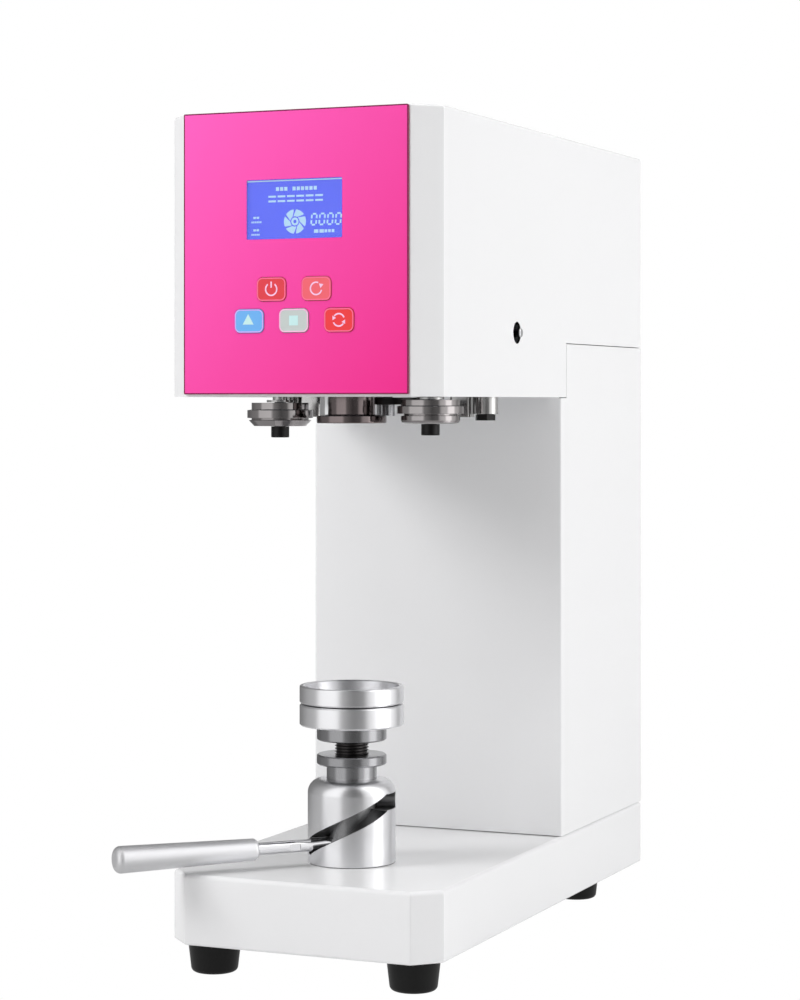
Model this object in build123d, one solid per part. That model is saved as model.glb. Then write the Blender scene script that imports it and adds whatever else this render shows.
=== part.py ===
from build123d import *
from math import acos, atan2, cos, degrees, hypot, radians, sin
import os

# Driving sizes in millimetres: X to the right, Y to the back, Z up
BODY_WIDTH = 200.0
BODY_DEPTH = 432.0
CORNER_CUT = 17.0
WALL = 2.0
FOLD_RADIUS = 1.6
FOOT_HEIGHT = 21.6
BASE_HEIGHT = 48.0
THROAT_HEIGHT = 323.3
HEAD_HEIGHT = 191.3
COLUMN_DEPTH_SHARE = 0.43565
CAN_SETBACK = 91.0

# Heights of the lift, stacked from the floor of the cup's pocket down to the base
POCKET_DEPTH = 6.5
CUP_HEIGHT = 12.1
CUP_GAP = 0.8
TRAY_HEIGHT = 14.7
HUB_HEIGHT = 10.2
THREAD_SHOW = 10.0
NUT_HEIGHT = 7.0
NECK_HEIGHT = 10.0
BARREL_HEIGHT = 58.0

# Clearances shared by all pieces
RUN_FIT = 0.05
GAP = 0.3
SEAM = 0.6
OVERRUN = 1.0
FULL_TURN = 360

# Levels measured from the floor of the cup's pocket, which is the origin
Z_CUP_TOP = POCKET_DEPTH
Z_CUP_LOW = Z_CUP_TOP - CUP_HEIGHT
Z_TRAY_TOP = Z_CUP_LOW - CUP_GAP
Z_TRAY_LOW = Z_TRAY_TOP - TRAY_HEIGHT
Z_HUB_LOW = Z_TRAY_LOW - HUB_HEIGHT
Z_NUT_TOP = Z_HUB_LOW - THREAD_SHOW
Z_NECK_TOP = Z_NUT_TOP - NUT_HEIGHT
Z_BARREL_TOP = Z_NECK_TOP - NECK_HEIGHT
Z_BASE_TOP = Z_BARREL_TOP - BARREL_HEIGHT
Z_BASE_LOW = Z_BASE_TOP - BASE_HEIGHT
Z_FLOOR = Z_BASE_LOW - FOOT_HEIGHT
Z_HEAD_LOW = Z_BASE_TOP + THROAT_HEIGHT
Z_HEAD_TOP = Z_HEAD_LOW + HEAD_HEIGHT

# Places in plan
HALF_WIDTH = BODY_WIDTH / 2
COLUMN_DEPTH = BODY_DEPTH * COLUMN_DEPTH_SHARE
Y_FRONT = -CAN_SETBACK
Y_REAR = Y_FRONT + BODY_DEPTH
Y_COLUMN = Y_REAR - COLUMN_DEPTH
SEAM_SETBACK = 11.2
Y_SEAM = Y_COLUMN + SEAM_SETBACK
SEAM_RISE = 39.4
Z_SEAM = Z_HEAD_LOW + SEAM_RISE

UP = (0, 0, 1)
BACK = (0, 1, 0)
ON_BASE = (Align.CENTER, Align.CENTER, Align.MIN)


def rod(radius, z_low, z_high, x=0, y=0):
    return Pos(x, y, z_low) * Cylinder(radius, z_high - z_low, align=ON_BASE)


def tube(radius, bore, z_low, z_high, x=0, y=0):
    return rod(radius, z_low, z_high, x, y) - rod(bore, z_low - OVERRUN, z_high + OVERRUN, x, y)


def block(x_span, y_span, z_span):
    spans = (x_span, y_span, z_span)
    low = [min(span) for span in spans]
    size = [max(span) - min(span) for span in spans]
    return Pos(*low) * Box(*size, align=Align.MIN)


def lying_rod(radius, length, x, y, z):
    return Pos(x, y, z) * Rot(0, 90, 0) * Cylinder(radius, length)


def turned(profile, x=0, y=0):
    face = Plane.XZ * make_face(Polyline(*profile, close=True))
    return Pos(x, y, 0) * revolve(face, Axis.Z)


def prism(face, z_low, z_high):
    return extrude(Pos(0, 0, z_low) * face, amount=z_high - z_low, dir=UP)


def hexagon(across_flats, z_low, z_high, x=0, y=0):
    face = RegularPolygon(across_flats / 2, 6, major_radius=False)
    return prism(Pos(x, y, 0) * face, z_low, z_high)


def front_plate(width, height, corner, y_near, y_far, x, z):
    plane = Plane((x, y_near, z), x_dir=(1, 0, 0), z_dir=(0, -1, 0))
    face = plane * RectangleRounded(width, height, corner)
    return extrude(face, amount=y_far - y_near, dir=BACK)


def outline(inset=0.0):
    side = HALF_WIDTH - inset
    front = Y_FRONT + inset
    cut = CORNER_CUT - inset * (2 - 2**0.5)
    points = [
        (-side, Y_REAR),
        (-side, front + cut),
        (-side + cut, front),
        (side - cut, front),
        (side, front + cut),
        (side, Y_REAR),
    ]
    return make_face(Polyline(*points, close=True))


def on_circle(radius, azimuth, x=0, y=0):
    return x + radius * cos(radians(azimuth)), y + radius * sin(radians(azimuth))


# Base casing: an inverted folded tray
BASE_ROUND = 3.0
BASE_INNER_ROUND = 1.2
BASE_HEM_ROUND = 2.0
WELL_MARGIN = 10.0
WELL_FRONT = 20.0
WELL_REAR = 24.0
BARREL_DIAMETER = 61.2
BARREL_BORE = 35.0
SCREW_DIAMETER = 6.0
BARREL_SCREWS = 3
BARREL_SCREW_CIRCLE = 48.0
BARREL_SCREW_TURN = 60.0


def barrel_screw_places():
    step = FULL_TURN / BARREL_SCREWS
    turns = [BARREL_SCREW_TURN + step * i for i in range(BARREL_SCREWS)]
    return [on_circle(BARREL_SCREW_CIRCLE / 2, azimuth) for azimuth in turns]


def base_casing():
    shell = prism(outline(), Z_BASE_LOW, Z_BASE_TOP)
    shell = fillet(shell.edges().filter_by(Axis.Z), FOLD_RADIUS)
    shell = fillet(shell.edges().group_by(Axis.Z)[-1], BASE_ROUND)
    shell = fillet(shell.edges().group_by(Axis.Z)[0], BASE_HEM_ROUND)
    room = prism(outline(WALL), Z_BASE_LOW - OVERRUN, Z_BASE_TOP - WALL)
    room = room & block((-HALF_WIDTH, HALF_WIDTH), (Y_FRONT, Y_REAR - WALL), (Z_FLOOR, Z_HEAD_TOP))
    room = fillet(room.edges().group_by(Axis.Z)[-1], BASE_INNER_ROUND)
    shell -= room
    shell -= rod(BARREL_BORE / 2, Z_BASE_LOW, Z_BASE_TOP + OVERRUN)
    for x, y in barrel_screw_places():
        shell -= rod(SCREW_DIAMETER / 2 + GAP, Z_BASE_LOW, Z_BASE_TOP + OVERRUN, x, y)
    side = HALF_WIDTH - WELL_MARGIN
    well = (Y_COLUMN + WELL_FRONT, Y_REAR - WELL_REAR)
    return shell - block((-side, side), well, (Z_BASE_LOW, Z_BASE_TOP + OVERRUN))


# Base plate inside the casing's lower edge
BASE_PLATE_THICKNESS = 4.0
Z_FLOOR_PLATE = Z_BASE_LOW + BASE_PLATE_THICKNESS
FOOT_INSET = 26.0
FOOT_X = HALF_WIDTH - FOOT_INSET
FOOT_FRONT = 27.0
FOOT_REAR = 55.0
SUPPLY_WIDTH = 98.0
SUPPLY_TO_FOOT = 15.0
REAR_FOOT_X = SUPPLY_WIDTH / 2 + SUPPLY_TO_FOOT
FOOT_PLACES = {
    "foot_front_left": (-FOOT_X, Y_FRONT + FOOT_FRONT),
    "foot_front_right": (FOOT_X, Y_FRONT + FOOT_FRONT),
    "foot_rear_left": (-REAR_FOOT_X, Y_REAR - FOOT_REAR),
    "foot_rear_right": (REAR_FOOT_X, Y_REAR - FOOT_REAR),
}
PLATE_VENTS = 5
VENT_LENGTH = 60.0
VENT_WIDTH = 5.0
VENT_PITCH = 14.0


def base_plate():
    plate = prism(outline(WALL + GAP), Z_BASE_LOW, Z_FLOOR_PLATE)
    plate &= block((-HALF_WIDTH, HALF_WIDTH), (Y_FRONT, Y_REAR - WALL - GAP), (Z_BASE_LOW, Z_FLOOR_PLATE))
    for x, y in FOOT_PLACES.values():
        plate -= rod(SCREW_DIAMETER / 2 + RUN_FIT, Z_BASE_LOW - OVERRUN, Z_FLOOR_PLATE + OVERRUN, x, y)
    slot = prism(SlotOverall(VENT_LENGTH, VENT_WIDTH), Z_BASE_LOW - OVERRUN, Z_FLOOR_PLATE + OVERRUN)
    for i in range(PLATE_VENTS):
        plate -= Pos(0, Y_COLUMN - VENT_PITCH * (i + 1), 0) * slot
    return plate


# Stiffener under the casing's top, which takes the barrel's screws
STIFFENER_THICKNESS = 5.0
STIFFENER_MARGIN = 25.0
STIFFENER_DEPTH = 110.0
Z_STIFFENER_TOP = Z_BASE_TOP - WALL
Z_STIFFENER_LOW = Z_STIFFENER_TOP - STIFFENER_THICKNESS


def stiffener_plate():
    half, depth = HALF_WIDTH - STIFFENER_MARGIN, STIFFENER_DEPTH / 2
    plate = block((-half, half), (-depth, depth), (Z_STIFFENER_LOW, Z_STIFFENER_TOP))
    plate -= rod(BARREL_BORE / 2, Z_STIFFENER_LOW - OVERRUN, Z_BASE_TOP)
    for x, y in barrel_screw_places():
        plate -= rod(SCREW_DIAMETER / 2 + GAP, Z_STIFFENER_LOW - OVERRUN, Z_BASE_TOP, x, y)
    return plate


# Rubber feet and their screws
FOOT_TOP_DIAMETER = 36.5
FOOT_LOW_DIAMETER = 31.5
FOOT_EDGE_ROUND = 3.5
FOOT_RECESS_DIAMETER = 15.0
FOOT_RECESS_DEPTH = 11.0
SCREW_HEAD_DIAMETER = 10.0
SCREW_HEAD_HEIGHT = 6.0
SCREW_KEY_SIZE = 5.0
SCREW_KEY_DEPTH = 3.0
SCREW_PROUD = 3.0
BARREL_SCREW_GRIP = 5.5


def foot(x, y):
    low, high = FOOT_LOW_DIAMETER / 2, FOOT_TOP_DIAMETER / 2
    profile = [(0, Z_FLOOR), (low, Z_FLOOR), (high, Z_BASE_LOW), (0, Z_BASE_LOW)]
    body = fillet(turned(profile).edges().group_by(Axis.Z)[0], FOOT_EDGE_ROUND)
    body -= rod(FOOT_RECESS_DIAMETER / 2, Z_FLOOR - OVERRUN, Z_FLOOR + FOOT_RECESS_DEPTH)
    body -= rod(SCREW_DIAMETER / 2 + RUN_FIT, Z_FLOOR, Z_BASE_LOW + OVERRUN)
    return Pos(x, y, 0) * body


def cap_screw(x, y, z_seat, length):
    z_head = z_seat - SCREW_HEAD_HEIGHT
    screw = rod(SCREW_HEAD_DIAMETER / 2, z_head, z_seat) + rod(SCREW_DIAMETER / 2, z_head, z_seat + length)
    screw -= hexagon(SCREW_KEY_SIZE, z_head - OVERRUN, z_head + SCREW_KEY_DEPTH)
    return Pos(x, y, 0) * screw


def base_screws():
    seat = Z_FLOOR + FOOT_RECESS_DEPTH
    foot_grip = Z_FLOOR_PLATE - seat + SCREW_PROUD
    barrel_grip = Z_BASE_TOP - Z_STIFFENER_LOW + BARREL_SCREW_GRIP
    screws = [cap_screw(x, y, seat, foot_grip) for x, y in FOOT_PLACES.values()]
    return screws + [cap_screw(x, y, Z_STIFFENER_LOW, barrel_grip) for x, y in barrel_screw_places()]


# Uprights: two folded channels from the base plate to the head plate
UPRIGHT_WIDTH = 30.0
UPRIGHT_DEPTH = 60.0
UPRIGHT_WALL = 3.0
UPRIGHT_MARGIN = 12.0
UPRIGHT_SETBACK = 24.0
UPRIGHT_SOLE = 5.0
UPRIGHT_SOLE_REACH = 10.0
ARM_BAY = 11.2
HEAD_PLATE_THICKNESS = 8.0
Z_PLATE_LOW = Z_HEAD_LOW + ARM_BAY
Z_PLATE_TOP = Z_PLATE_LOW + HEAD_PLATE_THICKNESS


def upright(side):
    reach = HALF_WIDTH - UPRIGHT_MARGIN
    outer, inner = side * reach, side * (reach - UPRIGHT_WIDTH)
    near = Y_COLUMN + UPRIGHT_SETBACK
    far = near + UPRIGHT_DEPTH
    channel = block((inner, outer), (near, far), (Z_FLOOR_PLATE, Z_PLATE_LOW))
    hollow_x = (inner - side * OVERRUN, outer - side * UPRIGHT_WALL)
    hollow_z = (Z_FLOOR_PLATE + UPRIGHT_SOLE, Z_PLATE_LOW - UPRIGHT_SOLE)
    channel -= block(hollow_x, (near + UPRIGHT_WALL, far - UPRIGHT_WALL), hollow_z)
    sole_z = (Z_FLOOR_PLATE, Z_FLOOR_PLATE + UPRIGHT_SOLE)
    return channel + block((inner, outer), (near - UPRIGHT_SOLE_REACH, far), sole_z)


# Column cover: a folded U with a raised flank on both sides
REAR_SHEET = 1.5
LIP_WIDTH = 12.0
COLUMN_FOLD_RADIUS = 1.5


def rear_lips(z_low, z_high):
    inner = HALF_WIDTH - WALL
    y_span = (Y_REAR - REAR_SHEET - WALL, Y_REAR - REAR_SHEET)
    return [block((side * (inner - LIP_WIDTH), side * inner), y_span, (z_low, z_high)) for side in (-1, 1)]


def column_cover():
    z_low, z_high = Z_BASE_TOP + SEAM, Z_HEAD_LOW - SEAM
    cover = block((-HALF_WIDTH, HALF_WIDTH), (Y_COLUMN, Y_REAR), (z_low, z_high))
    cover = fillet(cover.edges().filter_by(Axis.Z).group_by(Axis.Y)[0], COLUMN_FOLD_RADIUS)
    inner = HALF_WIDTH - WALL
    cover -= block((-inner, inner), (Y_COLUMN + WALL, Y_REAR + OVERRUN), (z_low - OVERRUN, z_high + OVERRUN))
    for side in (-1, 1):
        cover += block((side * inner, side * HALF_WIDTH), (Y_SEAM, Y_REAR), (z_high - WALL, Z_SEAM))
    tongue = inner - 2 * GAP
    cover += block((-tongue, tongue), (Y_COLUMN, Y_COLUMN + WALL), (z_high - WALL, Z_PLATE_LOW - GAP))
    for lip in rear_lips(z_low, Z_SEAM):
        cover += lip
    return cover


# Rear cover with vents and the inlet's cut-out
REAR_VENTS = 9
REAR_VENT_LENGTH = 56.0
REAR_VENT_WIDTH = 4.0
REAR_VENT_PITCH = 9.0
HEAD_VENT_DROP = 50.0
COLUMN_VENT_RISE = 190.0
INLET_X = 52.0
INLET_RISE = 62.0
INLET_WIDTH = 27.0
INLET_HEIGHT = 47.0
INLET_CORNER = 2.0
INLET_Z = Z_BASE_TOP + INLET_RISE


def rear_cover():
    half = HALF_WIDTH - WALL - GAP
    y_span = (Y_REAR - REAR_SHEET, Y_REAR)
    sheet = block((-half, half), y_span, (Z_BASE_TOP + SEAM, Z_HEAD_TOP - WALL - GAP))
    levels = [Z_HEAD_TOP - HEAD_VENT_DROP, Z_BASE_TOP + COLUMN_VENT_RISE]
    for level in levels:
        for column in (-1, 1):
            for row in range(REAR_VENTS):
                place = (column * (REAR_VENT_LENGTH + REAR_VENT_PITCH) / 2, level - row * REAR_VENT_PITCH)
                sheet -= front_plate(
                    REAR_VENT_LENGTH, REAR_VENT_WIDTH, REAR_VENT_WIDTH / 2 - RUN_FIT,
                    Y_REAR - REAR_SHEET - OVERRUN, Y_REAR + OVERRUN, *place,
                )
    sheet -= front_plate(
        INLET_WIDTH + 2 * RUN_FIT, INLET_HEIGHT + 2 * RUN_FIT, INLET_CORNER,
        Y_REAR - REAR_SHEET - OVERRUN, Y_REAR + OVERRUN, INLET_X, INLET_Z,
    )
    return sheet


# Head casing: a folded cap, open behind and with a return lip below
HEAD_TOP_ROUND = 1.8
HEAD_LIP = 6.0
SIDE_HOLE_DIAMETER = 15.5
SIDE_HOLE_SETBACK = 152.0
SIDE_HOLE_RISE = 45.2
Y_SIDE_HOLE = Y_FRONT + SIDE_HOLE_SETBACK
Z_SIDE_HOLE = Z_HEAD_LOW + SIDE_HOLE_RISE
LCD_WIDTH = 70.0
LCD_HEIGHT = 39.5
LCD_CORNER = 0.8
LCD_RISE = 124.9
Z_LCD = Z_HEAD_LOW + LCD_RISE
KEY_WIDTH = 21.5
KEY_HEIGHT = 15.8
KEY_CORNER = 4.0
KEY_PITCH = 33.0
KEY_ROW_HIGH = 71.6
KEY_ROW_LOW = 50.6
KEY_PLACES = {
    "key_power": (-KEY_PITCH / 2, Z_HEAD_LOW + KEY_ROW_HIGH),
    "key_clear": (KEY_PITCH / 2, Z_HEAD_LOW + KEY_ROW_HIGH),
    "key_start": (-KEY_PITCH, Z_HEAD_LOW + KEY_ROW_LOW),
    "key_stop": (0, Z_HEAD_LOW + KEY_ROW_LOW),
    "key_auto": (KEY_PITCH, Z_HEAD_LOW + KEY_ROW_LOW),
}


def key_holes(y_near, y_far):
    size = (KEY_WIDTH + 2 * GAP, KEY_HEIGHT + 2 * GAP, KEY_CORNER + GAP)
    return [front_plate(*size, y_near, y_far, x, z) for x, z in KEY_PLACES.values()]


def head_casing():
    cap = prism(outline(), Z_HEAD_LOW, Z_HEAD_TOP)
    cap = fillet(cap.edges().filter_by(Axis.Z), FOLD_RADIUS)
    cap = fillet(cap.edges().group_by(Axis.Z)[-1], HEAD_TOP_ROUND)
    cap -= Pos(0, OVERRUN, 0) * prism(outline(WALL), Z_HEAD_LOW + WALL, Z_HEAD_TOP - WALL)
    cap -= prism(outline(WALL), Z_HEAD_LOW + WALL, Z_HEAD_TOP - WALL)
    cap -= prism(outline(WALL + HEAD_LIP), Z_HEAD_LOW - OVERRUN, Z_HEAD_TOP - WALL)
    x_span = (-HALF_WIDTH - OVERRUN, HALF_WIDTH + OVERRUN)
    cap -= block(x_span, (Y_SEAM - SEAM, Y_REAR + OVERRUN), (Z_HEAD_LOW - OVERRUN, Z_SEAM + SEAM))
    lip_end = HALF_WIDTH - WALL
    behind = (Y_COLUMN - SEAM, Y_REAR + OVERRUN)
    cap -= block((-lip_end, lip_end), behind, (Z_HEAD_LOW - OVERRUN, Z_PLATE_LOW))
    cap -= lying_rod(SIDE_HOLE_DIAMETER / 2, LIP_WIDTH, HALF_WIDTH, Y_SIDE_HOLE, Z_SIDE_HOLE)
    through = (Y_FRONT - OVERRUN, Y_FRONT + LIP_WIDTH)
    cap -= front_plate(LCD_WIDTH + 2 * GAP, LCD_HEIGHT + 2 * GAP, LCD_CORNER, *through, 0, Z_LCD)
    for hole in key_holes(*through):
        cap -= hole
    for lip in rear_lips(Z_SEAM + SEAM, Z_HEAD_TOP - WALL):
        cap += lip
    return cap


# Front panel, display and circuit board
PANEL_MARGIN_SIDE = 17.5
PANEL_WIDTH = BODY_WIDTH - 2 * PANEL_MARGIN_SIDE
PANEL_THICKNESS = 2.0
PANEL_MARGIN_LOW = 1.6
PANEL_MARGIN_TOP = 0.4
PANEL_CORNER = 1.0
Y_PANEL = Y_FRONT - PANEL_THICKNESS
GLASS_SET_IN = 0.15
MODULE_WIDTH = 80.0
MODULE_HEIGHT = 54.0
MODULE_DEPTH = 7.0
BOARD_MARGIN_SIDE = 7.5
BOARD_WIDTH = PANEL_WIDTH - 2 * BOARD_MARGIN_SIDE
BOARD_THICKNESS = 1.6
BOARD_MARGIN_LOW = 30.0
BOARD_MARGIN_TOP = 34.0
BOARD_PADS = 8.0
Y_MODULE = Y_FRONT + WALL
Y_BOARD = Y_MODULE + MODULE_DEPTH
SWITCH_SIZE = 6.0
KEY_PROUD = 0.6
KEY_FLANGE = 1.6
KEY_FLANGE_THICKNESS = 1.2
KEY_TRAVEL = 0.5
KEY_DISH = 0.4


def front_panel():
    z_low, z_high = Z_HEAD_LOW + PANEL_MARGIN_LOW, Z_HEAD_TOP - PANEL_MARGIN_TOP
    middle = (z_low + z_high) / 2
    panel = front_plate(PANEL_WIDTH, z_high - z_low, PANEL_CORNER, Y_PANEL, Y_FRONT, 0, middle)
    size = (LCD_WIDTH + 2 * GLASS_SET_IN, LCD_HEIGHT + 2 * GLASS_SET_IN, LCD_CORNER + GLASS_SET_IN)
    panel -= front_plate(*size, Y_PANEL - OVERRUN, Y_FRONT + OVERRUN, 0, Z_LCD)
    for hole in key_holes(Y_PANEL - OVERRUN, Y_FRONT + OVERRUN):
        panel -= hole
    return panel


def lcd_window():
    return front_plate(LCD_WIDTH, LCD_HEIGHT, LCD_CORNER, Y_PANEL + GLASS_SET_IN, Y_FRONT, 0, Z_LCD)


def lcd_module():
    cell = front_plate(LCD_WIDTH, LCD_HEIGHT, LCD_CORNER, Y_FRONT + GLASS_SET_IN, Y_MODULE, 0, Z_LCD)
    frame = front_plate(MODULE_WIDTH, MODULE_HEIGHT, PANEL_CORNER, Y_MODULE, Y_BOARD, 0, Z_LCD)
    return cell + frame


def control_board():
    z_low, z_high = Z_HEAD_LOW + BOARD_MARGIN_LOW, Z_HEAD_TOP - BOARD_MARGIN_TOP
    middle = (z_low + z_high) / 2
    y_far = Y_BOARD + BOARD_THICKNESS
    board = front_plate(BOARD_WIDTH, z_high - z_low, PANEL_CORNER, Y_BOARD, y_far, 0, middle)
    y_switch = Y_FRONT + WALL + GAP + KEY_FLANGE_THICKNESS + KEY_TRAVEL + GAP
    half = SWITCH_SIZE / 2
    for x, z in KEY_PLACES.values():
        board += block((x - half, x + half), (y_switch, Y_BOARD), (z - half, z + half))
    for side in (-1, 1):
        for z in (z_low + BOARD_PADS, z_high - BOARD_PADS):
            x = side * (BOARD_WIDTH / 2 - BOARD_PADS)
            board += block((x - half, x + half), (Y_MODULE, Y_BOARD), (z - half, z + half))
    relay_y = (y_far, y_far + MODULE_DEPTH + BOARD_PADS)
    relay_z = (z_high - 3 * BOARD_PADS, z_high - BOARD_PADS)
    for x in (-KEY_PITCH, 0, KEY_PITCH):
        board += block((x - BOARD_PADS, x + BOARD_PADS), relay_y, relay_z)
    return board


def key(name):
    x, z = KEY_PLACES[name]
    y_near = Y_PANEL - KEY_PROUD
    y_flange = Y_FRONT + WALL + GAP
    cap = front_plate(KEY_WIDTH, KEY_HEIGHT, KEY_CORNER, y_near, y_flange, x, z)
    cap = fillet(cap.edges().group_by(Axis.Y)[0], KEY_DISH)
    wide, tall = KEY_WIDTH + 2 * KEY_FLANGE, KEY_HEIGHT + 2 * KEY_FLANGE
    return cap + front_plate(wide, tall, KEY_CORNER, y_flange, y_flange + KEY_FLANGE_THICKNESS, x, z)


# Cam barrel: the lever's rod climbs its helical slot
BARREL_SHOULDER = 9.5
LEVER_AZIMUTH = 228.0
LEVER_RISE = 13.4
SLOT_WIDTH = 11.0
SLOT_SWEEP = 120.0
SLOT_LIFT = 30.3
SLOT_LEAD_IN = 5.0
SLOT_DWELL = 30.0
Z_LEVER = Z_BASE_TOP + LEVER_RISE
BARREL_FOOT_ROUND = 0.8


def slot_cutter():
    slope = SLOT_LIFT / SLOT_SWEEP
    pitch = slope * FULL_TURN
    inner, outer = BARREL_BORE / 2 - OVERRUN, BARREL_DIAMETER / 2 + OVERRUN
    middle = (inner + outer) / 2
    run = radians(1) * BARREL_DIAMETER / 2
    tall = SLOT_WIDTH * hypot(slope, run) / run
    lead = SLOT_LEAD_IN
    z_start = Z_LEVER - slope * lead
    height = slope * (SLOT_SWEEP + lead)
    path = Pos(0, 0, z_start) * Helix(pitch, height, middle)
    start = Plane((middle, 0, z_start), x_dir=(1, 0, 0), z_dir=(0, -1, 0))
    ramp = sweep(start * Rectangle(outer - inner, tall), path=path, is_frenet=True)
    ramp = Rot(0, 0, LEVER_AZIMUTH - lead) * ramp
    level = Plane((middle, 0, z_start + height), x_dir=(1, 0, 0), z_dir=(0, -1, 0))
    dwell = revolve(level * Rectangle(outer - inner, SLOT_WIDTH), Axis.Z, SLOT_DWELL)
    dwell = Rot(0, 0, LEVER_AZIMUTH + SLOT_SWEEP) * dwell
    ends = [(LEVER_AZIMUTH - lead, z_start), (LEVER_AZIMUTH + SLOT_SWEEP + SLOT_DWELL, z_start + height)]
    cutter = ramp + dwell
    for azimuth, z in ends:
        hole = Rot(0, 90, 0) * Cylinder(SLOT_WIDTH / 2, outer - inner)
        cutter += Rot(0, 0, azimuth) * Pos(middle, 0, z) * hole
    return cutter


def cam_barrel():
    radius = BARREL_DIAMETER / 2
    body = rod(radius, Z_BASE_TOP, Z_BARREL_TOP)
    body = fillet(body.edges().group_by(Axis.Z)[-1], BARREL_SHOULDER)
    body = chamfer(body.edges().group_by(Axis.Z)[0], BARREL_FOOT_ROUND)
    body -= rod(BARREL_BORE / 2, Z_BASE_TOP - OVERRUN, Z_BARREL_TOP + OVERRUN)
    screw_z = (Z_BASE_TOP - OVERRUN, Z_BASE_TOP + BARREL_SCREW_GRIP + GAP)
    for x, y in barrel_screw_places():
        body -= rod(SCREW_DIAMETER / 2 + RUN_FIT, *screw_z, x, y)
    return body - slot_cutter()


# Lift: a split guide ring, the plunger, the lever and the lock nut
PLUNGER_LOW = 0.8
RING_LOW = 2.0
RING_HEIGHT = 4.6
RING_DEPTH = 2.4
RING_SPLIT = 2.0
RING_SIDE_GAP = 0.15
STUD_DIAMETER = 23.6
STUD_LOW = 24.5
STUD_HOLE_SPARE = 5.5
NECK_CHAMFER = 0.6
ROD_DIAMETER = 8.6
ROD_INNER = 8.0
GRIP_START = 71.0
GRIP_LENGTH = 102.4
GRIP_INNER_DIAMETER = 15.0
GRIP_OUTER_DIAMETER = 18.5
GRIP_INNER_ROUND = 3.0
GRIP_OUTER_ROUND = 4.5
GRIP_SOCKET = 26.0
ROD_FLATS_SPAN = (40.0, 48.0)
ROD_FLATS_WIDTH = 7.2
NUT_DIAMETER = 48.6
NUT_CHAMFER = 0.9
PLUNGER_RADIUS = BARREL_BORE / 2 - RUN_FIT
RING_INNER = PLUNGER_RADIUS - RING_DEPTH


def guide_ring():
    z_low = Z_BASE_TOP + RING_LOW + RING_SIDE_GAP
    z_high = Z_BASE_TOP + RING_LOW + RING_HEIGHT - RING_SIDE_GAP
    ring = tube(PLUNGER_RADIUS, RING_INNER + RUN_FIT, z_low, z_high)
    return ring - block((0, BARREL_BORE), (0, RING_SPLIT), (z_low - OVERRUN, z_high + OVERRUN))


def along_lever(piece):
    return Pos(0, 0, Z_LEVER) * Rot(0, 0, LEVER_AZIMUTH) * Rot(0, 90, 0) * piece


def plunger():
    z_low = Z_BASE_TOP + PLUNGER_LOW
    ring_low = Z_BASE_TOP + RING_LOW
    body = rod(PLUNGER_RADIUS, z_low, Z_NECK_TOP)
    body = chamfer(body.edges().group_by(Axis.Z)[-1], NECK_CHAMFER)
    body -= tube(BARREL_BORE, RING_INNER, ring_low, ring_low + RING_HEIGHT)
    stud_floor = Z_BASE_TOP + STUD_LOW - STUD_HOLE_SPARE
    body -= rod(STUD_DIAMETER / 2 + RUN_FIT, stud_floor, Z_NECK_TOP + OVERRUN)
    return body - along_lever(rod(ROD_DIAMETER / 2, ROD_INNER, BARREL_DIAMETER))


def lever_rod():
    shaft = rod(ROD_DIAMETER / 2, ROD_INNER, GRIP_START + GRIP_SOCKET)
    for side in (-1, 1):
        flat_y = (side * ROD_FLATS_WIDTH / 2, side * ROD_DIAMETER)
        shaft -= block((-ROD_DIAMETER, ROD_DIAMETER), flat_y, ROD_FLATS_SPAN)
    return along_lever(shaft)


def lever_grip():
    end = GRIP_START + GRIP_LENGTH
    inner, outer = GRIP_INNER_DIAMETER / 2, GRIP_OUTER_DIAMETER / 2
    grip = turned([(0, GRIP_START), (inner, GRIP_START), (outer, end), (0, end)])
    grip = fillet(grip.edges().group_by(Axis.Z)[0], GRIP_INNER_ROUND)
    grip = fillet(grip.edges().group_by(Axis.Z)[-1], GRIP_OUTER_ROUND)
    socket = rod(ROD_DIAMETER / 2, GRIP_START - OVERRUN, GRIP_START + GRIP_SOCKET)
    return along_lever(grip - socket)


def lock_nut():
    nut = rod(NUT_DIAMETER / 2, Z_NECK_TOP, Z_NUT_TOP)
    nut = chamfer(nut.edges(), NUT_CHAMFER)
    return nut - rod(STUD_DIAMETER / 2 + RUN_FIT, Z_NECK_TOP - OVERRUN, Z_NUT_TOP + OVERRUN)


# Tray: stud, hub, lower ring, thrust bearing and cup
TRAY_DIAMETER = 72.6
TRAY_CHAMFER = 1.0
HUB_DIAMETER = 48.5
HUB_CHAMFER = 0.8
STUD_TOP = 3.0
BEARING_DIAMETER = 35.0
BEARING_BORE = 20.0
BEARING_HEIGHT = 9.0
BEARING_WASHER = 2.4
CAN_DIAMETER = 65.2
CAN_CLEARANCE = 0.8
CUP_MOUTH_CHAMFER = 0.8
Z_BEARING_LOW = Z_TRAY_TOP - BEARING_HEIGHT + GAP


def height_stud():
    return rod(STUD_DIAMETER / 2, Z_BASE_TOP + STUD_LOW, Z_TRAY_LOW + STUD_TOP)


def tray_hub():
    hub = rod(HUB_DIAMETER / 2, Z_HUB_LOW, Z_TRAY_LOW)
    hub = chamfer(hub.edges().group_by(Axis.Z)[0], HUB_CHAMFER)
    return hub - rod(STUD_DIAMETER / 2, Z_HUB_LOW - OVERRUN, Z_TRAY_LOW + OVERRUN)


def tray_base():
    ring = rod(TRAY_DIAMETER / 2, Z_TRAY_LOW, Z_TRAY_TOP)
    ring = chamfer(ring.edges(), TRAY_CHAMFER)
    ring -= rod(BEARING_DIAMETER / 2 + GAP, Z_BEARING_LOW - GAP, Z_TRAY_TOP + OVERRUN)
    return ring - rod(STUD_DIAMETER / 2, Z_TRAY_LOW - OVERRUN, Z_TRAY_LOW + STUD_TOP)


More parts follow.
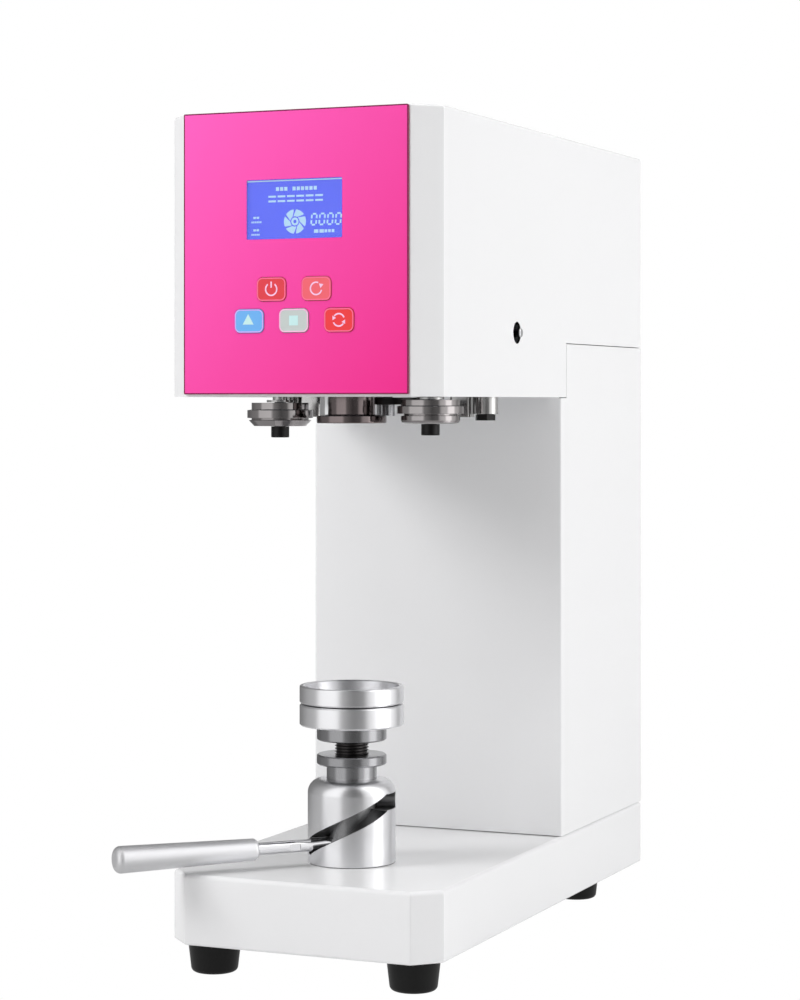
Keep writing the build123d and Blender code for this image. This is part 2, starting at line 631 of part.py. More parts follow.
def thrust_bearing():
    outer, bore = BEARING_DIAMETER / 2, BEARING_BORE / 2
    z_high = Z_BEARING_LOW + BEARING_HEIGHT
    waist = outer - BEARING_WASHER / 2
    low, high = Z_BEARING_LOW + BEARING_WASHER, z_high - BEARING_WASHER
    profile = [
        (bore, Z_BEARING_LOW), (outer, Z_BEARING_LOW), (outer, low), (waist, low),
        (waist, high), (outer, high), (outer, z_high), (bore, z_high),
    ]
    return turned(profile)


def can_cup():
    cup = rod(TRAY_DIAMETER / 2, Z_CUP_LOW, Z_CUP_TOP)
    cup = chamfer(cup.edges().group_by(Axis.Z)[0], TRAY_CHAMFER)
    cup = fillet(cup.edges().group_by(Axis.Z)[-1], TRAY_CHAMFER)
    wall, lead = (CAN_DIAMETER + CAN_CLEARANCE) / 2, CUP_MOUTH_CHAMFER
    mouth, above = wall + lead, Z_CUP_TOP + OVERRUN
    rim = [(wall, 0), (wall, Z_CUP_TOP - lead), (mouth, Z_CUP_TOP), (mouth, above)]
    cup -= turned([(0, 0)] + rim + [(0, above)])
    recess = rod(BEARING_DIAMETER / 2 + GAP, Z_CUP_LOW - OVERRUN, Z_BEARING_LOW + BEARING_HEIGHT + GAP)
    spigot = rod(BEARING_BORE / 2 - GAP, Z_BEARING_LOW + GAP, Z_CUP_TOP - POCKET_DEPTH)
    return cup - recess + spigot


# Head plate, which carries everything in the head
PLATE_REAR_MARGIN = 8.0
SPINDLE_DIAMETER = 33.0
SPINDLE_CLEARANCE = 2.0
CAM_SETBACK = 59.0
CAM_SHAFT_DIAMETER = 10.0
PIVOT_INSET = 24.0
PIVOT_X = HALF_WIDTH - PIVOT_INSET
PIVOT_Y = Y_SIDE_HOLE
PIVOT_DIAMETER = 12.0
EAR_MARGIN = 7.0
EAR_THICKNESS = 5.0
EAR_X = (HALF_WIDTH - EAR_MARGIN - EAR_THICKNESS, HALF_WIDTH - EAR_MARGIN)
EAR_WIDTH = 22.0
EAR_RISE = 12.0
ACCESS_SCREW_DIAMETER = 6.0
ACCESS_HEAD_DIAMETER = 9.0
ACCESS_HEAD_HEIGHT = 4.0
ACCESS_SCREW_LENGTH = 20.0
ACCESS_OFFSET = 2.6


def head_plate():
    plate = prism(outline(WALL + GAP), Z_PLATE_LOW, Z_PLATE_TOP)
    back = Y_REAR - PLATE_REAR_MARGIN
    plate &= block((-HALF_WIDTH, HALF_WIDTH), (Y_FRONT, back), (Z_PLATE_LOW, Z_PLATE_TOP))
    through = (Z_PLATE_LOW - OVERRUN, Z_PLATE_TOP + OVERRUN)
    plate -= rod(SPINDLE_DIAMETER / 2 + SPINDLE_CLEARANCE, *through)
    plate -= rod(CAM_SHAFT_DIAMETER / 2 + GAP, *through, 0, CAM_SETBACK)
    for side in (-1, 1):
        plate -= rod(PIVOT_DIAMETER / 2 + RUN_FIT, *through, side * PIVOT_X, PIVOT_Y)
    half = EAR_WIDTH / 2
    y_span = (Y_SIDE_HOLE - half, Y_SIDE_HOLE + half)
    ear = block(EAR_X, y_span, (Z_PLATE_TOP - OVERRUN, Z_SIDE_HOLE + EAR_RISE))
    ear -= sideways(Cylinder(ACCESS_SCREW_DIAMETER / 2 + RUN_FIT, EAR_WIDTH), sum(EAR_X) / 2)
    return plate + ear


def sideways(piece, x):
    return Pos(x, Y_SIDE_HOLE + ACCESS_OFFSET, Z_SIDE_HOLE) * Rot(0, 90, 0) * piece


def access_screw():
    shank = rod(ACCESS_SCREW_DIAMETER / 2, -ACCESS_SCREW_LENGTH, 0)
    head = rod(ACCESS_HEAD_DIAMETER / 2, 0, ACCESS_HEAD_HEIGHT)
    head = fillet(head.edges().group_by(Axis.Z)[-1], ACCESS_HEAD_HEIGHT / 2)
    return sideways(shank + head, EAR_X[1])


# Spindle, its housing and bearings, the chuck and the belt drive
CHUCK_DIAMETER = 48.6
CHUCK_HEIGHT = 6.1
CHUCK_DROP = 18.2
CHUCK_ROUND = 0.8
CHUCK_TAPER = 1.2
CHUCK_DISH_DIAMETER = 30.0
CHUCK_DISH_DEPTH = 3.4
CHUCK_SCREW_DIAMETER = 10.0
CHUCK_SCREW_HEAD = 16.0
CHUCK_SCREW_HEAD_HEIGHT = 3.0
CHUCK_SCREW_REACH = 22.0
CHUCK_SCREW_KEY = 6.0
CHUCK_SCREW_KEY_DEPTH = 2.0
Z_CHUCK_LOW = Z_HEAD_LOW - CHUCK_DROP
Z_CHUCK_TOP = Z_CHUCK_LOW + CHUCK_HEIGHT
HOUSING_DIAMETER = 58.0
HOUSING_HEIGHT = 60.0
HOUSING_FLANGE_DIAMETER = 72.0
HOUSING_FLANGE_HEIGHT = 8.0
HOUSING_RELIEF_DIAMETER = 40.0
BEARING_OUTER = 47.0
BEARING_WIDTH = 12.0
BEARING_INSET = 4.0
JOURNAL_DIAMETER = 25.0
PULLEY_SEAT_DIAMETER = 20.0
PULLEY_DIAMETER = 60.0
MOTOR_PULLEY_DIAMETER = 34.0
PULLEY_WIDTH = 16.0
PULLEY_CLEAR = 4.0
PULLEY_FLANGE = 2.0
PULLEY_GROOVE = 4.0
BELT_SIDE_GAP = 0.8
SHAFT_PROUD = 3.0
MOTOR_SETBACK = 132.0
MOTOR_DIAMETER = 88.0
MOTOR_HEIGHT = 56.0
MOTOR_CAP_HEIGHT = 9.0
MOTOR_CAP_DIAMETER = 92.0
MOTOR_SHAFT_DIAMETER = 12.0
MOTOR_SHAFT_SUNK = 30.0
Z_HOUSING_TOP = Z_PLATE_TOP + HOUSING_HEIGHT
Z_PULLEY_LOW = Z_HOUSING_TOP + PULLEY_CLEAR
Z_PULLEY_TOP = Z_PULLEY_LOW + PULLEY_WIDTH


def spindle_housing():
    body = rod(HOUSING_DIAMETER / 2, Z_PLATE_TOP, Z_HOUSING_TOP)
    body += rod(HOUSING_FLANGE_DIAMETER / 2, Z_PLATE_TOP, Z_PLATE_TOP + HOUSING_FLANGE_HEIGHT)
    body -= rod(HOUSING_RELIEF_DIAMETER / 2, Z_PLATE_TOP - OVERRUN, Z_HOUSING_TOP + OVERRUN)
    for low, high in bearing_spans():
        deep = low if low < Z_PLATE_TOP + HOUSING_HEIGHT / 2 else high
        mouth = Z_PLATE_TOP - OVERRUN if deep == low else Z_HOUSING_TOP + OVERRUN
        seat = (mouth, high) if deep == low else (low, mouth)
        body -= rod(BEARING_OUTER / 2 + RUN_FIT, *seat)
    return body


def bearing_spans():
    low = Z_PLATE_TOP + BEARING_INSET
    high = Z_HOUSING_TOP - BEARING_INSET
    return [(low, low + BEARING_WIDTH), (high - BEARING_WIDTH, high)]


def spindle_bearings():
    return [tube(BEARING_OUTER / 2, JOURNAL_DIAMETER / 2 + RUN_FIT, *span) for span in bearing_spans()]


def spindle_shaft():
    nose, journal, seat = SPINDLE_DIAMETER / 2, JOURNAL_DIAMETER / 2, PULLEY_SEAT_DIAMETER / 2
    shoulder = bearing_spans()[0][0] - GAP
    shaft = rod(nose, Z_CHUCK_TOP, shoulder) + rod(journal, shoulder - OVERRUN, Z_PULLEY_LOW)
    shaft += rod(seat, Z_PULLEY_LOW - OVERRUN, Z_PULLEY_TOP + SHAFT_PROUD)
    return shaft - rod(CHUCK_SCREW_DIAMETER / 2, Z_CHUCK_TOP - OVERRUN, Z_CHUCK_TOP + CHUCK_SCREW_REACH)


def seaming_chuck():
    radius = CHUCK_DIAMETER / 2
    neck = SPINDLE_DIAMETER / 2
    top = Z_CHUCK_TOP
    rim = top - CHUCK_TAPER
    profile = [(0, Z_CHUCK_LOW), (radius, Z_CHUCK_LOW), (radius, rim), (neck, top), (0, top)]
    disc = fillet(turned(profile).edges().group_by(Axis.Z)[0], CHUCK_ROUND)
    disc -= rod(CHUCK_DISH_DIAMETER / 2, Z_CHUCK_LOW - OVERRUN, Z_CHUCK_LOW + CHUCK_DISH_DEPTH)
    return disc - rod(CHUCK_SCREW_DIAMETER / 2, Z_CHUCK_LOW, top + OVERRUN)


def chuck_screw():
    seat = Z_CHUCK_LOW + CHUCK_DISH_DEPTH
    head = rod(CHUCK_SCREW_HEAD / 2, seat - CHUCK_SCREW_HEAD_HEIGHT, seat)
    head = chamfer(head.edges().group_by(Axis.Z)[0], CHUCK_ROUND)
    face = seat - CHUCK_SCREW_HEAD_HEIGHT
    head -= hexagon(CHUCK_SCREW_KEY, face - OVERRUN, face + CHUCK_SCREW_KEY_DEPTH)
    return head + rod(CHUCK_SCREW_DIAMETER / 2, seat, Z_CHUCK_TOP + CHUCK_SCREW_REACH - GAP)


def pulley(diameter, bore, y=0):
    outer, groove = diameter / 2, diameter / 2 - PULLEY_GROOVE
    low, high = Z_PULLEY_LOW + PULLEY_FLANGE, Z_PULLEY_TOP - PULLEY_FLANGE
    profile = [
        (bore / 2, Z_PULLEY_LOW), (outer, Z_PULLEY_LOW), (outer, low), (groove, low),
        (groove, high), (outer, high), (outer, Z_PULLEY_TOP), (bore / 2, Z_PULLEY_TOP),
    ]
    return turned(profile, 0, y)


def loop_face(grow):
    near = Circle(PULLEY_DIAMETER / 2 - PULLEY_GROOVE + grow)
    far = Pos(0, MOTOR_SETBACK) * Circle(MOTOR_PULLEY_DIAMETER / 2 - PULLEY_GROOVE + grow)
    return make_hull((near + far).edges())


def drive_belt():
    inset = PULLEY_FLANGE + BELT_SIDE_GAP
    low, high = Z_PULLEY_LOW + inset, Z_PULLEY_TOP - inset
    return prism(loop_face(PULLEY_GROOVE), low, high) - prism(loop_face(GAP), low - OVERRUN, high + OVERRUN)


def motor_body():
    z_high = Z_PLATE_TOP + MOTOR_HEIGHT
    body = rod(MOTOR_DIAMETER / 2, Z_PLATE_TOP, z_high, 0, MOTOR_SETBACK)
    cap = MOTOR_CAP_DIAMETER / 2
    body += rod(cap, Z_PLATE_TOP, Z_PLATE_TOP + MOTOR_CAP_HEIGHT, 0, MOTOR_SETBACK)
    body += rod(cap, z_high - MOTOR_CAP_HEIGHT, z_high, 0, MOTOR_SETBACK)
    hole_z = (z_high - MOTOR_SHAFT_SUNK - GAP, z_high + OVERRUN)
    return body - rod(MOTOR_SHAFT_DIAMETER / 2 + RUN_FIT, *hole_z, 0, MOTOR_SETBACK)


def motor_shaft():
    z_low = Z_PLATE_TOP + MOTOR_HEIGHT - MOTOR_SHAFT_SUNK
    return rod(MOTOR_SHAFT_DIAMETER / 2, z_low, Z_PULLEY_TOP + SHAFT_PROUD, 0, MOTOR_SETBACK)


# Roller arms: cranked levers on fixed pivots, pushed in by a cam
ROLLER_X = 57.5
ROLLER_Y = 4.5
FOLLOWER_X = 22.0
FOLLOWER_Y = 90.0
FOLLOWER_DIAMETER = 16.0
ARM_THICKNESS = 10.0
ARM_TOP_GAP = 0.9
ARM_END_DIAMETER = 23.0
ARM_PIVOT_DIAMETER = 26.0
ARM_TOE_DIAMETER = 18.0
BOSS_DIAMETER = 18.0
BOSS_DROP = 11.9
COLLAR_DIAMETER = 19.0
COLLAR_HEIGHT = 1.6
SPACER_DIAMETER = 10.6
STOP_BLOCK_OFFSETS = (25.0, 10.0)
STOP_BLOCK_DEPTH = 12.0
STOP_BLOCK_DROP = 14.2
STOP_BLOCK_ROUND = 2.0
Z_ARM_TOP = Z_PLATE_LOW - ARM_TOP_GAP
Z_ARM_LOW = Z_ARM_TOP - ARM_THICKNESS
ROLLER_HEIGHT = 16.4
ROLLER_DROP = {"left": 20.4, "right": 18.4}
ROLLER_BORE = 8.0
ROLLER_SCREW_HEAD = 12.8
ROLLER_SCREW_HEAD_HEIGHT = 7.8
ROLLER_SCREW_KEY = 6.0
ROLLER_SCREW_KEY_DEPTH = 4.0
ROLLER_SCREW_ROUND = 0.7
PIVOT_HEAD_FLATS = 13.0
PIVOT_HEAD_HEIGHT = 4.3
PIVOT_NUT_FLATS = 18.0
PIVOT_NUT_HEIGHT = 8.0
SIDES = {"left": -1, "right": 1}

# Roller profiles as shares of the rim's radius and of the roller's height
RIM_RADIUS = 23.2
FIRST_ROLLER_SHARES = [
    (0.79, 0.0), (0.955, 0.245), (0.87, 0.275), (0.87, 0.33), (1.0, 0.35), (1.0, 0.68), (0.87, 0.71),
    (0.87, 1.0),
]
SECOND_ROLLER_SHARES = [
    (0.78, 0.0), (0.86, 0.05), (0.885, 0.14), (0.885, 0.33), (0.80, 0.345), (0.80, 0.40), (1.0, 0.42),
    (1.0, 0.73), (0.885, 0.755), (0.885, 1.0),
]
ROLLER_SHARES = {"left": FIRST_ROLLER_SHARES, "right": SECOND_ROLLER_SHARES}


def limb(place_a, diameter_a, place_b, diameter_b):
    ends = Pos(*place_a) * Circle(diameter_a / 2) + Pos(*place_b) * Circle(diameter_b / 2)
    return prism(make_hull(ends.edges()), Z_ARM_LOW, Z_ARM_TOP)


def arm(hand):
    side = SIDES[hand]
    pivot, nose = (side * PIVOT_X, PIVOT_Y), (side * ROLLER_X, ROLLER_Y)
    toe = (side * FOLLOWER_X, FOLLOWER_Y)
    body = limb(pivot, ARM_PIVOT_DIAMETER, nose, ARM_END_DIAMETER)
    body += limb(pivot, ARM_PIVOT_DIAMETER, toe, ARM_TOE_DIAMETER)
    body += rod(BOSS_DIAMETER / 2, Z_HEAD_LOW - BOSS_DROP, Z_ARM_LOW + OVERRUN, *pivot)
    roller_top = Z_HEAD_LOW - ROLLER_DROP[hand] + ROLLER_HEIGHT + GAP
    body += rod(SPACER_DIAMETER / 2, roller_top, Z_ARM_LOW + OVERRUN, *nose)
    body += rod(COLLAR_DIAMETER / 2, roller_top, roller_top + COLLAR_HEIGHT, *nose)
    half = STOP_BLOCK_DEPTH / 2
    stop_x = [side * (PIVOT_X - offset) for offset in STOP_BLOCK_OFFSETS]
    stop_z = (Z_HEAD_LOW - STOP_BLOCK_DROP, Z_ARM_LOW + OVERRUN)
    stop = block(stop_x, (PIVOT_Y - half, PIVOT_Y + half), stop_z)
    body += fillet(stop.edges().filter_by(Axis.Z), STOP_BLOCK_ROUND)
    body -= rod(PIVOT_DIAMETER / 2 + RUN_FIT, Z_HEAD_LOW - BOSS_DROP - OVERRUN, Z_PLATE_LOW, *pivot)
    return body - rod(ROLLER_BORE / 2, Z_CHUCK_LOW, Z_PLATE_LOW, *nose)


def follower(hand):
    z_low = Z_ARM_LOW - CAM_DROP - CAM_THICKNESS
    return rod(FOLLOWER_DIAMETER / 2, z_low, Z_ARM_LOW, SIDES[hand] * FOLLOWER_X, FOLLOWER_Y)


def roller(hand):
    low = Z_HEAD_LOW - ROLLER_DROP[hand]
    bore = ROLLER_BORE / 2 + RUN_FIT
    rim = [(radius * RIM_RADIUS, low + rise * ROLLER_HEIGHT) for radius, rise in ROLLER_SHARES[hand]]
    profile = [(bore, low)] + rim + [(bore, low + ROLLER_HEIGHT)]
    return turned(profile, SIDES[hand] * ROLLER_X, ROLLER_Y)


def roller_screw(hand):
    seat = Z_HEAD_LOW - ROLLER_DROP[hand] - GAP
    low = seat - ROLLER_SCREW_HEAD_HEIGHT
    head = rod(ROLLER_SCREW_HEAD / 2, low, seat)
    head = fillet(head.edges().group_by(Axis.Z)[0], ROLLER_SCREW_ROUND)
    head -= hexagon(ROLLER_SCREW_KEY, low - OVERRUN, low + ROLLER_SCREW_KEY_DEPTH)
    screw = head + rod(ROLLER_BORE / 2, seat, Z_ARM_TOP)
    return Pos(SIDES[hand] * ROLLER_X, ROLLER_Y, 0) * screw


def pivot_bolts():
    bolts = []
    z_seat = Z_HEAD_LOW - BOSS_DROP - GAP
    for side in SIDES.values():
        place = (side * PIVOT_X, PIVOT_Y)
        bolt = hexagon(PIVOT_HEAD_FLATS, z_seat - PIVOT_HEAD_HEIGHT, z_seat, *place)
        bolt += rod(PIVOT_DIAMETER / 2, z_seat, Z_PLATE_TOP + PIVOT_NUT_HEIGHT + SHAFT_PROUD, *place)
        nut = hexagon(PIVOT_NUT_FLATS, Z_PLATE_TOP, Z_PLATE_TOP + PIVOT_NUT_HEIGHT, *place)
        nut -= rod(PIVOT_DIAMETER / 2, Z_PLATE_TOP - OVERRUN, Z_PLATE_TOP + BOSS_DROP, *place)
        bolts += [bolt, nut]
    return bolts


# Seaming cam: its rise pushes the first roller's follower at an even rate
CAM_THICKNESS = 5.0
CAM_DROP = 0.6
CAM_TURN = 64.0
ARM_CLOSED_DISTANCE = 48.0
CAM_RISE_STEPS = 8
CAM_HOLD = 18.0
CAM_FALL = 60.0
CAM_FALL_STEPS = 5
CAM_BASE_STEPS = 12
CAM_CUT_STEP = 0.01
CAM_HUB_DIAMETER = 13.0
CAM_HUB_DROP = 13.3
GEARBOX_WIDTH = 46.0
GEARBOX_DEPTH = 44.0
GEARBOX_HEIGHT = 32.0
GEARMOTOR_DIAMETER = 30.0
GEARMOTOR_HEIGHT = 26.0
CAM_SHAFT_SUNK = 20.0
Z_CAM_TOP = Z_ARM_LOW - CAM_DROP


def arm_swing():
    reach = hypot(PIVOT_X - ROLLER_X, PIVOT_Y - ROLLER_Y)
    span = hypot(PIVOT_X, PIVOT_Y)

    def angle(distance):
        return degrees(acos((reach**2 + span**2 - distance**2) / (2 * reach * span)))

    return angle(hypot(ROLLER_X, ROLLER_Y)) - angle(ARM_CLOSED_DISTANCE)


def turn(x, y, angle):
    across, along = cos(radians(angle)), sin(radians(angle))
    return x * across - y * along, x * along + y * across


def follower_path(cam_angle):
    swing = arm_swing() * cam_angle / CAM_TURN
    x, y = turn(PIVOT_X - FOLLOWER_X, FOLLOWER_Y - PIVOT_Y, swing)
    return turn(x - PIVOT_X, y + PIVOT_Y - CAM_SETBACK, cam_angle)


def cam_rise_point(cam_angle):
    x, y = follower_path(cam_angle)
    ahead_x, ahead_y = follower_path(cam_angle + CAM_CUT_STEP)
    dx, dy = ahead_x - x, ahead_y - y
    offset = (FOLLOWER_DIAMETER / 2 + GAP) / hypot(dx, dy)
    return x - dy * offset, y + dx * offset


def seaming_cam():
    rise = [cam_rise_point(CAM_TURN * i / CAM_RISE_STEPS) for i in range(CAM_RISE_STEPS + 1)]
    rest_radius = hypot(FOLLOWER_X, FOLLOWER_Y - CAM_SETBACK) - FOLLOWER_DIAMETER / 2 - GAP
    top_radius = hypot(*rise[-1])
    top_angle = degrees(atan2(rise[-1][1], rise[-1][0])) % FULL_TURN
    first_angle = degrees(atan2(rise[0][1], rise[0][0])) % FULL_TURN
    hold = [on_circle(top_radius, top_angle + CAM_HOLD * i / 2) for i in (1, 2)]
    fall = []
    for i in range(1, CAM_FALL_STEPS + 1):
        share = (1 - cos(radians(180 * i / CAM_FALL_STEPS))) / 2
        radius = top_radius + (rest_radius - top_radius) * share
        fall.append(on_circle(radius, top_angle + CAM_HOLD + CAM_FALL * i / CAM_FALL_STEPS))
    start = top_angle + CAM_HOLD + CAM_FALL
    span = first_angle + FULL_TURN - start
    rest = [on_circle(rest_radius, start + span * i / CAM_BASE_STEPS) for i in range(1, CAM_BASE_STEPS)]
    face = make_face(Spline(*rise, *hold, *fall, *rest, periodic=True))
    disc = Pos(0, CAM_SETBACK, 0) * prism(face, Z_CAM_TOP - CAM_THICKNESS, Z_CAM_TOP)
    return disc - rod(CAM_SHAFT_DIAMETER / 2, Z_CHUCK_LOW, Z_PLATE_LOW, 0, CAM_SETBACK)


def cam_shaft():
    z_high = Z_PLATE_TOP + CAM_SHAFT_SUNK
    hub_low = Z_HEAD_LOW - CAM_HUB_DROP
    shaft = rod(CAM_SHAFT_DIAMETER / 2, hub_low, z_high, 0, CAM_SETBACK)
    return shaft + rod(CAM_HUB_DIAMETER / 2, hub_low, Z_CAM_TOP - CAM_THICKNESS, 0, CAM_SETBACK)


def cam_gearmotor():
    half, depth = GEARBOX_WIDTH / 2, GEARBOX_DEPTH / 2
    z_box = Z_PLATE_TOP + GEARBOX_HEIGHT
    y_span = (CAM_SETBACK - depth, CAM_SETBACK + depth)
    body = block((-half, half), y_span, (Z_PLATE_TOP, z_box))
    body += rod(GEARMOTOR_DIAMETER / 2, z_box, z_box + GEARMOTOR_HEIGHT, 0, CAM_SETBACK)
    shaft_hole = (Z_PLATE_TOP - OVERRUN, Z_PLATE_TOP + CAM_SHAFT_SUNK + GAP)
    return body - rod(CAM_SHAFT_DIAMETER / 2 + RUN_FIT, *shaft_hole, 0, CAM_SETBACK)


# Mains side: inlet with its switch, and the power supply
INLET_FLANGE = 3.0
INLET_FLANGE_REACH = 2.0
INLET_BODY_DEPTH = 28.0
SOCKET_WIDTH = 23.0
SOCKET_HEIGHT = 15.6
SOCKET_CORNER = 3.0
SOCKET_DEPTH = 16.5
SOCKET_DROP = 11.0
PIN_WIDTH = 4.0
PIN_THICKNESS = 2.0
PIN_LENGTH = 11.0
PIN_PITCH = 7.0
PIN_STEP = 4.0
ROCKER_RADIUS = 8.6
ROCKER_WIDTH = 13.0
ROCKER_RISE = 13.0
ROCKER_TILT = 12.0
ROCKER_FACE = 4.0
SUPPLY_DEPTH = 45.0
SUPPLY_HEIGHT = 150.0
SUPPLY_REAR_GAP = 19.2
SUPPLY_STRIP = 12.0
Y_INLET_FACE = Y_REAR + INLET_FLANGE
Z_SOCKET = INLET_Z - SOCKET_DROP
Z_ROCKER = INLET_Z + ROCKER_RISE


def power_inlet():
    wide, tall = INLET_WIDTH + 2 * INLET_FLANGE_REACH, INLET_HEIGHT + 2 * INLET_FLANGE_REACH
    deep = Y_REAR - INLET_BODY_DEPTH
    body = front_plate(INLET_WIDTH, INLET_HEIGHT, INLET_CORNER, deep, Y_REAR, INLET_X, INLET_Z)
    body += front_plate(wide, tall, INLET_CORNER, Y_REAR, Y_INLET_FACE, INLET_X, INLET_Z)
    y_floor = Y_INLET_FACE - SOCKET_DEPTH
    socket = (SOCKET_WIDTH, SOCKET_HEIGHT, SOCKET_CORNER)
    body -= front_plate(*socket, y_floor, Y_INLET_FACE + OVERRUN, INLET_X, Z_SOCKET)
    for column in (-1, 0, 1):
        x = INLET_X + column * PIN_PITCH
        z = Z_SOCKET - PIN_STEP / 2 + (PIN_STEP if column == 0 else 0)
        x_span = (x - PIN_THICKNESS / 2, x + PIN_THICKNESS / 2)
        z_span = (z - PIN_WIDTH / 2, z + PIN_WIDTH / 2)
        body += block(x_span, (y_floor - OVERRUN, y_floor + PIN_LENGTH), z_span)
    return body - lying_rod(ROCKER_RADIUS + GAP, ROCKER_WIDTH + 2 * GAP, INLET_X, Y_REAR, Z_ROCKER)


def switch_rocker():
    drum = lying_rod(ROCKER_RADIUS, ROCKER_WIDTH, INLET_X, Y_REAR, Z_ROCKER)
    half = ROCKER_WIDTH
    above = block((-half, half), (0, half), (-half, half))
    for tilt in (0, ROCKER_TILT):
        lean = Rot(tilt - ROCKER_TILT / 2, 0, 0)
        drum -= Pos(INLET_X, Y_REAR, Z_ROCKER) * lean * Pos(0, ROCKER_FACE, 0) * above
    return drum


def power_supply():
    half = SUPPLY_WIDTH / 2
    near = Y_REAR - INLET_BODY_DEPTH - SUPPLY_REAR_GAP - SUPPLY_DEPTH
    z_high = Z_FLOOR_PLATE + SUPPLY_HEIGHT
    body = block((-half, half), (near, near + SUPPLY_DEPTH), (Z_FLOOR_PLATE, z_high))
    body = fillet(body.edges().filter_by(Axis.Z), FOLD_RADIUS)
    strip = (z_high, z_high + SUPPLY_STRIP)
    return body + block((-half / 2, half / 2), (near + SUPPLY_STRIP, near + 2 * SUPPLY_STRIP), strip)


def nodes():
    made = {
        "base_casing": base_casing(),
        "base_plate": base_plate(),
        "stiffener_plate": stiffener_plate(),
        "base_screws": base_screws(),
        "column_cover": column_cover(),
        "rear_cover": rear_cover(),
        "head_casing": head_casing(),
        "head_plate": head_plate(),
        "access_screw": access_screw(),
        "front_panel": front_panel(),
        "lcd_window": lcd_window(),
        "lcd_module": lcd_module(),
        "control_board": control_board(),
        "cam_barrel": cam_barrel(),
        "guide_ring": guide_ring(),
        "plunger": plunger(),
        "lever_rod": lever_rod(),
        "lever_grip": lever_grip(),
        "lock_nut": lock_nut(),
        "height_stud": height_stud(),
        "tray_hub": tray_hub(),
        "tray_base": tray_base(),
        "thrust_bearing": thrust_bearing(),
        "can_cup": can_cup(),
        "spindle_housing": spindle_housing(),
        "spindle_bearings": spindle_bearings(),
        "spindle_shaft": spindle_shaft(),
        "seaming_chuck": seaming_chuck(),
        "chuck_screw": chuck_screw(),
        "spindle_pulley": pulley(PULLEY_DIAMETER, PULLEY_SEAT_DIAMETER),
        "motor_pulley": pulley(MOTOR_PULLEY_DIAMETER, MOTOR_SHAFT_DIAMETER, MOTOR_SETBACK),
        "drive_belt": drive_belt(),
        "motor_body": motor_body(),
        "motor_shaft": motor_shaft(),
        "pivot_bolts": pivot_bolts(),
        "seaming_cam": seaming_cam(),
        "cam_shaft": cam_shaft(),
        "cam_gearmotor": cam_gearmotor(),
        "power_inlet": power_inlet(),
        "switch_rocker": switch_rocker(),
        "power_supply": power_supply(),
    }
    for name, place in FOOT_PLACES.items():
        made[name] = foot(*place)
    for name in KEY_PLACES:
        made[name] = key(name)
    for hand, side in SIDES.items():
        made[hand + "_upright"] = upright(side)
        made[hand + "_arm"] = arm(hand)
        made[hand + "_follower"] = follower(hand)
        made[hand + "_roller"] = roller(hand)
        made[hand + "_roller_screw"] = roller_screw(hand)
    return made


os.makedirs("parts", exist_ok=True)
for name, piece in nodes().items():
    shape = Compound(children=[Part() + solid for solid in piece]) if isinstance(piece, list) else piece
    export_step(shape, f"parts/{name}.step")
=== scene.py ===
"""Looks of a bench-top can seamer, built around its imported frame. Everything is in metres."""
import math

import bpy
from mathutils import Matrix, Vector


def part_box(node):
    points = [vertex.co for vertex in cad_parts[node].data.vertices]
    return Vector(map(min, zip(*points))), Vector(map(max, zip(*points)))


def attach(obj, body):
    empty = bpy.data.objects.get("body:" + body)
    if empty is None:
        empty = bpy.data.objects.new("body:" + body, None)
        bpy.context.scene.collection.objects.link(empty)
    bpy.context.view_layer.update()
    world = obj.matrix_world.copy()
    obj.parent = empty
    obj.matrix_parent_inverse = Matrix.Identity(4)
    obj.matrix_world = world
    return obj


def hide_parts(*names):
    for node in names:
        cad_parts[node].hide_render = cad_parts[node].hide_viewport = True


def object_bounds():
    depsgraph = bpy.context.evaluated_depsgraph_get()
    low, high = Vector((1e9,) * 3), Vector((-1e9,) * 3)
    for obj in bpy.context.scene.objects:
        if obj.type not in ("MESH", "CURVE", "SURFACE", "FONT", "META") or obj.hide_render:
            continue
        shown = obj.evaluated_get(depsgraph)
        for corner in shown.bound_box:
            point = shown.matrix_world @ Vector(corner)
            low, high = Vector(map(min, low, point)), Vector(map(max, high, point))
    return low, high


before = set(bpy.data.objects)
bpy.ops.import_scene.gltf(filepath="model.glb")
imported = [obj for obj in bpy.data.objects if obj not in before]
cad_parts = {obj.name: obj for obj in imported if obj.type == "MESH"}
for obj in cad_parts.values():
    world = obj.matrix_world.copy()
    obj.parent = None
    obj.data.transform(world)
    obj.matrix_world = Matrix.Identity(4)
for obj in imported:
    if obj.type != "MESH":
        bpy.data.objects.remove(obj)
solid_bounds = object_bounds()

MM = 0.001
AXIS = (0, 0, 0)
IN_FRONT = (math.pi / 2, 0, 0)
FACING_RIGHT = (0, math.pi / 2, 0)
FACING_BACK = (-math.pi / 2, 0, 0)
FACING_DOWN = (math.pi, 0, 0)

# Camera at the photograph's place, given from the cup's axis and the feet
VIEW_TURN = 23.29
VIEW_X = 749.7 * MM
VIEW_Y = -1656.6 * MM
VIEW_HEIGHT = 389.0 * MM
FOCAL_LENGTH = 93.985
SENSOR_SIZE = 36
VIEW_SHIFT = -0.0974

# Floor and studio light
FLOOR_SIZE = 60.0
FLOOR_WHITE = 0.92
FLOOR_GREY = 0.55
GREY_FLOOR_RADIUS = 0.5
BANDS_FLOOR_RADIUS = 0.7
SKY_STRENGTH = 0.33
WHITE = (1, 1, 1, 1)

# Brightness of the studio around the machine, by direction in degrees from its right
STUDIO_BANDS = [
    (-180, 0.4), (-150, 0.5), (-141, 1.15), (-98, 1.25), (-89, 0.45), (-62, 0.16), (-38, 0.25),
    (-28, 0.95), (-9, 1.25), (-2, 2.4), (19, 2.4), (27, 1.15), (44, 0.9), (54, 0.47), (88, 0.46),
    (104, 0.35), (124, 0.18), (160, 0.26), (180, 0.4),
]

